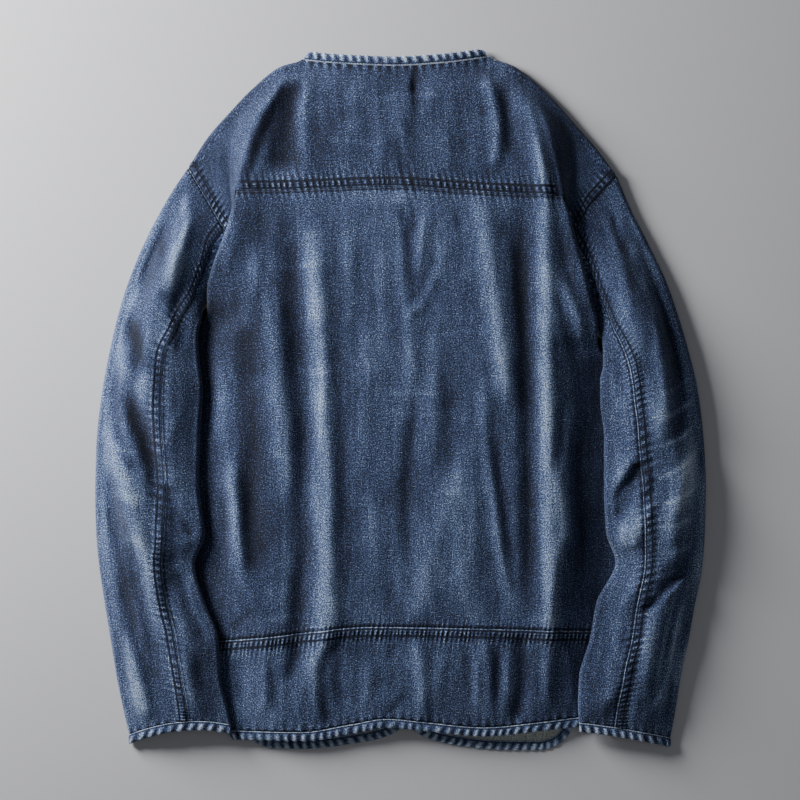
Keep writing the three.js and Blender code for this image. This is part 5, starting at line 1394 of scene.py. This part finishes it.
def roped_strip(
    name, line, run, goes_with, shown=None, wrap=False, flatten=1.0, seed=81, flip=False, pale=0.0
):
    """line(out) gives the strip's points at a share of its width; run is the distance along it."""
    form = STRIP_FORM
    shown = np.ones(run.shape) if shown is None else shown
    wave = np.stack([rope(run, out, seed) for out in form["out"]]) * shown
    points = np.stack([line(out) for out in form["out"]])
    edge = points[-1] - points[0]
    edge = edge / np.linalg.norm(edge, axis=-1, keepdims=True)
    if flip:
        points, wave = points[::-1], wave[::-1]
    round_up = (form["round"][::-1] if flip else form["round"])[:, None] * shown
    out = (form["out"][::-1] if flip else form["out"])[:, None]
    lifted = points + grid_normals(points, wrap) * (flatten * (round_up + ROPE_RISE * wave))[..., None]
    lifted = lifted + edge[None] * (0.45 * wave * out)[..., None]
    groove, rubbed = bump(out, STRIP_ROW + 0.04, 0.06), bump(out, 0.85, 0.2)
    worn_edge_and_highlight = bump(out, 0.04, 0.035)
    crest = np.where(wave > 0, np.abs(wave) ** 1.6 * 1.1, wave)
    # The thin pale line at the seam side is partly wear on its raised edge and partly painted highlight; pale
    # lightens a whole strip with painted light where it lies in shade
    tone = 0.56 + pale + 0.38 * crest - 0.4 * groove + 0.5 * worn_edge_and_highlight + 0.16 * rubbed
    tone = tone + 0.07 * ripple(run, out * 9, 7, seed + 3)
    piece = cloth_grid(
        name, lifted, tone, [roped_face], thickness=STRIP_WALL, wrap=wrap, middle=points.shape[1] // 2,
    )
    goes_with.append(piece)
    index = len(form["out"]) - 3 if flip else 2
    return lifted, index


# The strip along the back hem, from tuck to tuck
hem_width = float(left_edge("x", -350) + right_edge("x", -350))
hem_station = back_stations(count(420))
hem_across = np.clip(hem_station, 0, 1)


def hem_line(out):
    y = back_hem(hem_across) + STRIP_WIDTH * (1 - out)
    return back_points(hem_station, y[None])[0]


hem_shown = smooth((hem_station + 0.25) / 0.25) * smooth((1.25 - hem_station) / 0.25)
hem_strip, hem_index = roped_strip(
    "back_hem_strip_cloth", hem_line, hem_station * hem_width, band_extras, shown=hem_shown, flip=True
)
on_top = (hem_station >= 0) & (hem_station <= 1)
hem_row = tuple(a[on_top] for a in grid_row(hem_strip, hem_index))
stitch_rows("hem_stitches", [hem_row], band_extras, faded_thread)

# The strip at the neck
neck_share = np.linspace(0, 1, count(250))
from_neck_end = np.minimum(neck_share, 1 - neck_share) * back_neck.total
neck_wide = mix(0.35, 1, np.sqrt(1 - (1 - np.clip(from_neck_end / 9, 0, 1)) ** 2))
neck_strip, neck_index = roped_strip(
    "neck_strip_cloth", lambda out: beside(back_neck, neck_share, -STRIP_WIDTH * (1 - out * neck_wide)),
    neck_share * back_neck.total, yoke_extras, seed=71,
)
stitch_rows("neck_stitches", [grid_row(neck_strip, neck_index)], yoke_extras, faded_thread)

# The strips at the cuffs, right round each sleeve. The ropes are spaced over the width of a flat cuff.
CUFF_WIDTH = 115
for side, kind in (("left", left_kind), ("right", right_kind)):
    part = stations(
        (-1, -0.9, 6), (-0.9, -0.1, count(110)), (-0.1, 0.1, 16), (0.1, 0.9, count(130)), (0.9, 1, 6)
    )[:-1]

    def cuff_line(out, kind=kind, part=part):
        points = sleeve_points(kind, np.array([[1.0]]), part[None])[0][0]
        points = points - np.array([0, 2 * SEAM_GAP + STRIP_WIDTH * out, 0])
        return sided(kind, points[None])[0]

    flat_under = mix(0.25, 1, smooth((part + 0.02) / 0.1)) * mix(0.25, 1, smooth((1 - np.abs(part)) / 0.06))
    run, shown = part * CUFF_WIDTH, flat_under
    if kind["mirror"]:
        run, shown = run[::-1], shown[::-1]
    strip, index = roped_strip(
        f"cuff_strip_{side}_cloth", cuff_line, run, sleeve_threads[side], shown=shown, wrap=True,
        seed=kind["seed"] + 7, flip=True,
    )
    stitch_rows(f"cuff_stitches_{side}", [grid_row(strip, index)], sleeve_threads[side], faded_thread)

# %% [markdown]
# ## The fronts
#
# The fronts lie face down under everything, so they are flat: only their rounded lower corners show past the
# back hem, with the inside of the cloth up. Each is cut from one outline: along the strip on its free edge,
# up the side under the back's tuck, round the armhole and along the shoulder.

# %% Outline and cloth of the fronts
# Fade of the inside where it shows at the hem, its own pale colour raised further with painted light where
# the back hem shades it; above the waist a tone far below the ramp, painted shade for the dark gaps under the
# arms, the only places that show it
INSIDE_TONE, GAP_PAINTED_SHADE_TONE = 0.62, -0.6


def side_line(sign, low, high):
    """Points up the side of the back, at the end of its tuck."""
    y = np.linspace(low, high, 60)
    edge = left_edge if sign < 0 else right_edge
    return np.stack((sign * (edge("x", y) - edge("turn", y) - edge("tuck", y) - 2 * SEAM_GAP), y), -1)


def front_panel(side, sign, edge_rows, shoulder_rows, armhole_rows, goes_with):
    """A front from its outline, with its roped strip and stitches. sign is -1 on the left, 1 on the right."""
    edge = path_of(edge_rows)
    neck_turn, hem_turn = edge.shares[NECK_TURN_ROW], edge.shares[HEM_TURN_ROW]
    stops = stations(
        (0, neck_turn - 0.02, count(60)), (neck_turn - 0.02, neck_turn + 0.02, 12),
        (neck_turn + 0.02, hem_turn - 0.03, count(160)), (hem_turn - 0.03, hem_turn + 0.03, 40),
        (hem_turn + 0.03, 1, count(190)),
    )
    seam = beside(edge, stops, sign * (STRIP_WIDTH + 1.5 * SEAM_GAP))[::3]
    shoulder, arm = path_of(mirrored(shoulder_rows, sign)), path_of(mirrored(armhole_rows, sign))
    tuck_end = SHOULDER["turn"] + SHOULDER["tuck"] + 2 * SEAM_GAP
    shoulder_line = beside(shoulder, np.linspace(0.06, 0.86, 30), sign * tuck_end)
    arm_line = beside(arm, np.linspace(0.96, tuck_end / arm.total + 0.03, 30), -sign * ARMHOLE_CLEARANCE)
    corner_x, corner_y = armhole_rows["x"][-1], armhole_rows["y"][-1]
    gusset = np.stack(
        (sign * (corner_x + UNDERARM_CORNER["out"]), corner_y - UNDERARM_CORNER["down"]), -1
    )
    up_side = side_line(sign, seam[-1, 1] + 4, gusset[0, 1] - 3)
    outline = np.concatenate((seam, up_side, gusset, arm_line, shoulder_line))
    bm = bmesh.new()
    bmesh.ops.create_circle(bm, cap_ends=True, segments=len(outline), radius=1)
    bm.verts.ensure_lookup_table()
    corners = sorted(bm.verts, key=lambda v: math.atan2(v.co.x, v.co.y))
    if sign > 0:
        corners = corners[::-1]
    for corner, (x, y) in zip(corners, outline):
        corner.co = to_frame(np.array([x, y, FRONT_CLOTH]))
    bmesh.ops.triangulate(bm, faces=bm.faces[:], ngon_method="EAR_CLIP")
    bmesh.ops.recalc_face_normals(bm, faces=bm.faces[:])
    if sum(face.normal.z * face.calc_area() for face in bm.faces) < 0:
        bmesh.ops.reverse_faces(bm, faces=bm.faces[:])
    mesh = bpy.data.meshes.new(f"front_{side}_cloth")
    bm.to_mesh(mesh)
    bm.free()
    layer = mesh.uv_layers.new(name="cloth")
    for loop in mesh.loops:
        layer.data[loop.index].uv = mesh.vertices[loop.vertex_index].co.xy
    shade = mesh.attributes.new("tone", "FLOAT", "POINT")
    # Painted shade on the upper part, which shows only through the dark gaps under the arms
    tones = [INSIDE_TONE if v.co.y < 0 else GAP_PAINTED_SHADE_TONE for v in mesh.vertices]
    shade.data.foreach_set("value", np.array(tones, np.float32))
    finish_object(f"front_{side}_cloth", mesh, [inside_face, washed_face], FRONT_CLOTH)

    def line(out):
        points = beside(edge, stops, sign * STRIP_WIDTH * (1 - out))
        return np.concatenate((points, np.full((len(points), 1), STRIP_WALL + 0.5)), -1)

    # The fronts' strips lie in the shade of the back hem, and pale lightens them with painted light
    strip, index = roped_strip(
        f"front_strip_{side}_cloth", line, stops * edge.total, goes_with, flatten=0.75, seed=91 + sign,
        flip=sign > 0, pale=0.12,
    )
    stitch_rows(f"front_stitches_{side}", [grid_row(strip, index)], goes_with, faded_thread)


front_extras = {"left": [], "right": []}
front_panel("left", -1, LEFT_FRONT_EDGE, LEFT_SHOULDER, LEFT_ARMHOLE, front_extras["left"])
front_panel("right", 1, RIGHT_FRONT_EDGE, RIGHT_SHOULDER, RIGHT_ARMHOLE, front_extras["right"])

# %% [markdown]
# ## Which cloth stands for which piece of the frame
#
# Each shell replaces the solid of the same piece, which is hidden. The table gives the size it was cut to,
# before it was sewn and laid, and the strips and threads that are sewn on it.

# %% Replacing


FRONTS = ["front_left", "front_right"]
# Piece, node of the frame, pieces sewn on it, width and length it was cut to, area of the cut, what is below
SHEETS = (
    ("back_body_cloth", "back_body", body_extras, (0.472, 0.484), 0.216, FRONTS),
    ("back_yoke_cloth", "back_yoke", yoke_extras, (0.46, 0.165), 0.06, FRONTS),
    ("back_hem_band_cloth", "back_hem_band", band_extras, (0.45, 0.115), 0.0435, FRONTS),
    ("sleeve_top_left_cloth", "sleeve_top_left", sleeve_threads["left"], (0.165, 0.6), 0.079, ["floor"]),
    ("sleeve_top_right_cloth", "sleeve_top_right", sleeve_threads["right"], (0.165, 0.6), 0.077, ["floor"]),
    ("sleeve_under_left_cloth", "sleeve_under_left", [], (0.11, 0.5), 0.0465, ["floor"]),
    ("sleeve_under_right_cloth", "sleeve_under_right", [], (0.11, 0.5), 0.0435, ["floor"]),
    ("front_left_cloth", "front_left", front_extras["left"], (0.23, 0.71), 0.127, ["floor"]),
    ("front_right_cloth", "front_right", front_extras["right"], (0.23, 0.71), 0.12, ["floor"]),
)
STRIPS = (
    "back_hem_strip", "neck_strip", "cuff_strip_left", "cuff_strip_right", "front_strip_left",
    "front_strip_right",
)

for name in STRIPS:
    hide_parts(name)
for name, node, extras, flat, cut_area, rests_on in SHEETS:
    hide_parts(node)

# %% [markdown]
# ## The surface, the light and the camera
#
# The jacket is seen from straight above on a plain pale surface, with one soft light from the upper left that
# leaves the lower right in shade. The camera is far away with a long lens, and its picture is square.

# %% Stage
bm = bmesh.new()
bmesh.ops.create_grid(bm, x_segments=1, y_segments=1, size=4)
floor_mesh = bpy.data.meshes.new("floor")
bm.to_mesh(floor_mesh)
bm.free()
floor = bpy.data.objects.new("floor", floor_mesh)
bpy.context.scene.collection.objects.link(floor)
floor_material, tree = new_material("plain pale surface")
floor_shader = add_node(tree, "ShaderNodeBsdfPrincipled", inputs={"Roughness": 0.75})
floor_shader.inputs["Base Color"].default_value = linear("#bcbcc0")
add_node(tree, "ShaderNodeOutputMaterial", inputs={"Surface": floor_shader.outputs[0]})
floor_mesh.materials.append(floor_material)

# %% Light and camera


def area_light(name, place, aim, size, watts):
    """A round, soft light at a place, aimed at a point."""
    data = bpy.data.lights.new(name, "AREA")
    data.shape = "DISK"
    data.size = size
    data.energy = watts
    light = bpy.data.objects.new(name, data)
    bpy.context.scene.collection.objects.link(light)
    light.location = place
    light.rotation_euler = (Vector(aim) - Vector(place)).to_track_quat("-Z", "Y").to_euler()


area_light("key", (-1.2, 0.74, 0.58), (-0.05, 0.05, 0), 0.75, 62)
area_light("fill", (0.5, -0.3, 2.6), (0, 0, 0), 2.4, 6)

world = bpy.data.worlds.new("studio")
world.use_nodes = True
world.node_tree.nodes["Background"].inputs["Color"].default_value = (0.9, 0.93, 1, 1)
world.node_tree.nodes["Background"].inputs["Strength"].default_value = 0.08
bpy.context.scene.world = world

camera_data = bpy.data.cameras.new("camera")
camera_data.lens = 100
camera_data.sensor_width = 36
camera = bpy.data.objects.new("camera", camera_data)
bpy.context.scene.collection.objects.link(camera)
# Width in metres that the picture covers, at the height of the cloth
picture_width, cloth_height = 0.84, 0.01
distance = picture_width * camera_data.lens / camera_data.sensor_width
camera.location = (-0.0006, -0.0008, distance + cloth_height)
camera.rotation_euler = (0, 0, 0)
bpy.context.scene.camera = camera
print("camera height:", round(camera.location.z, 3))
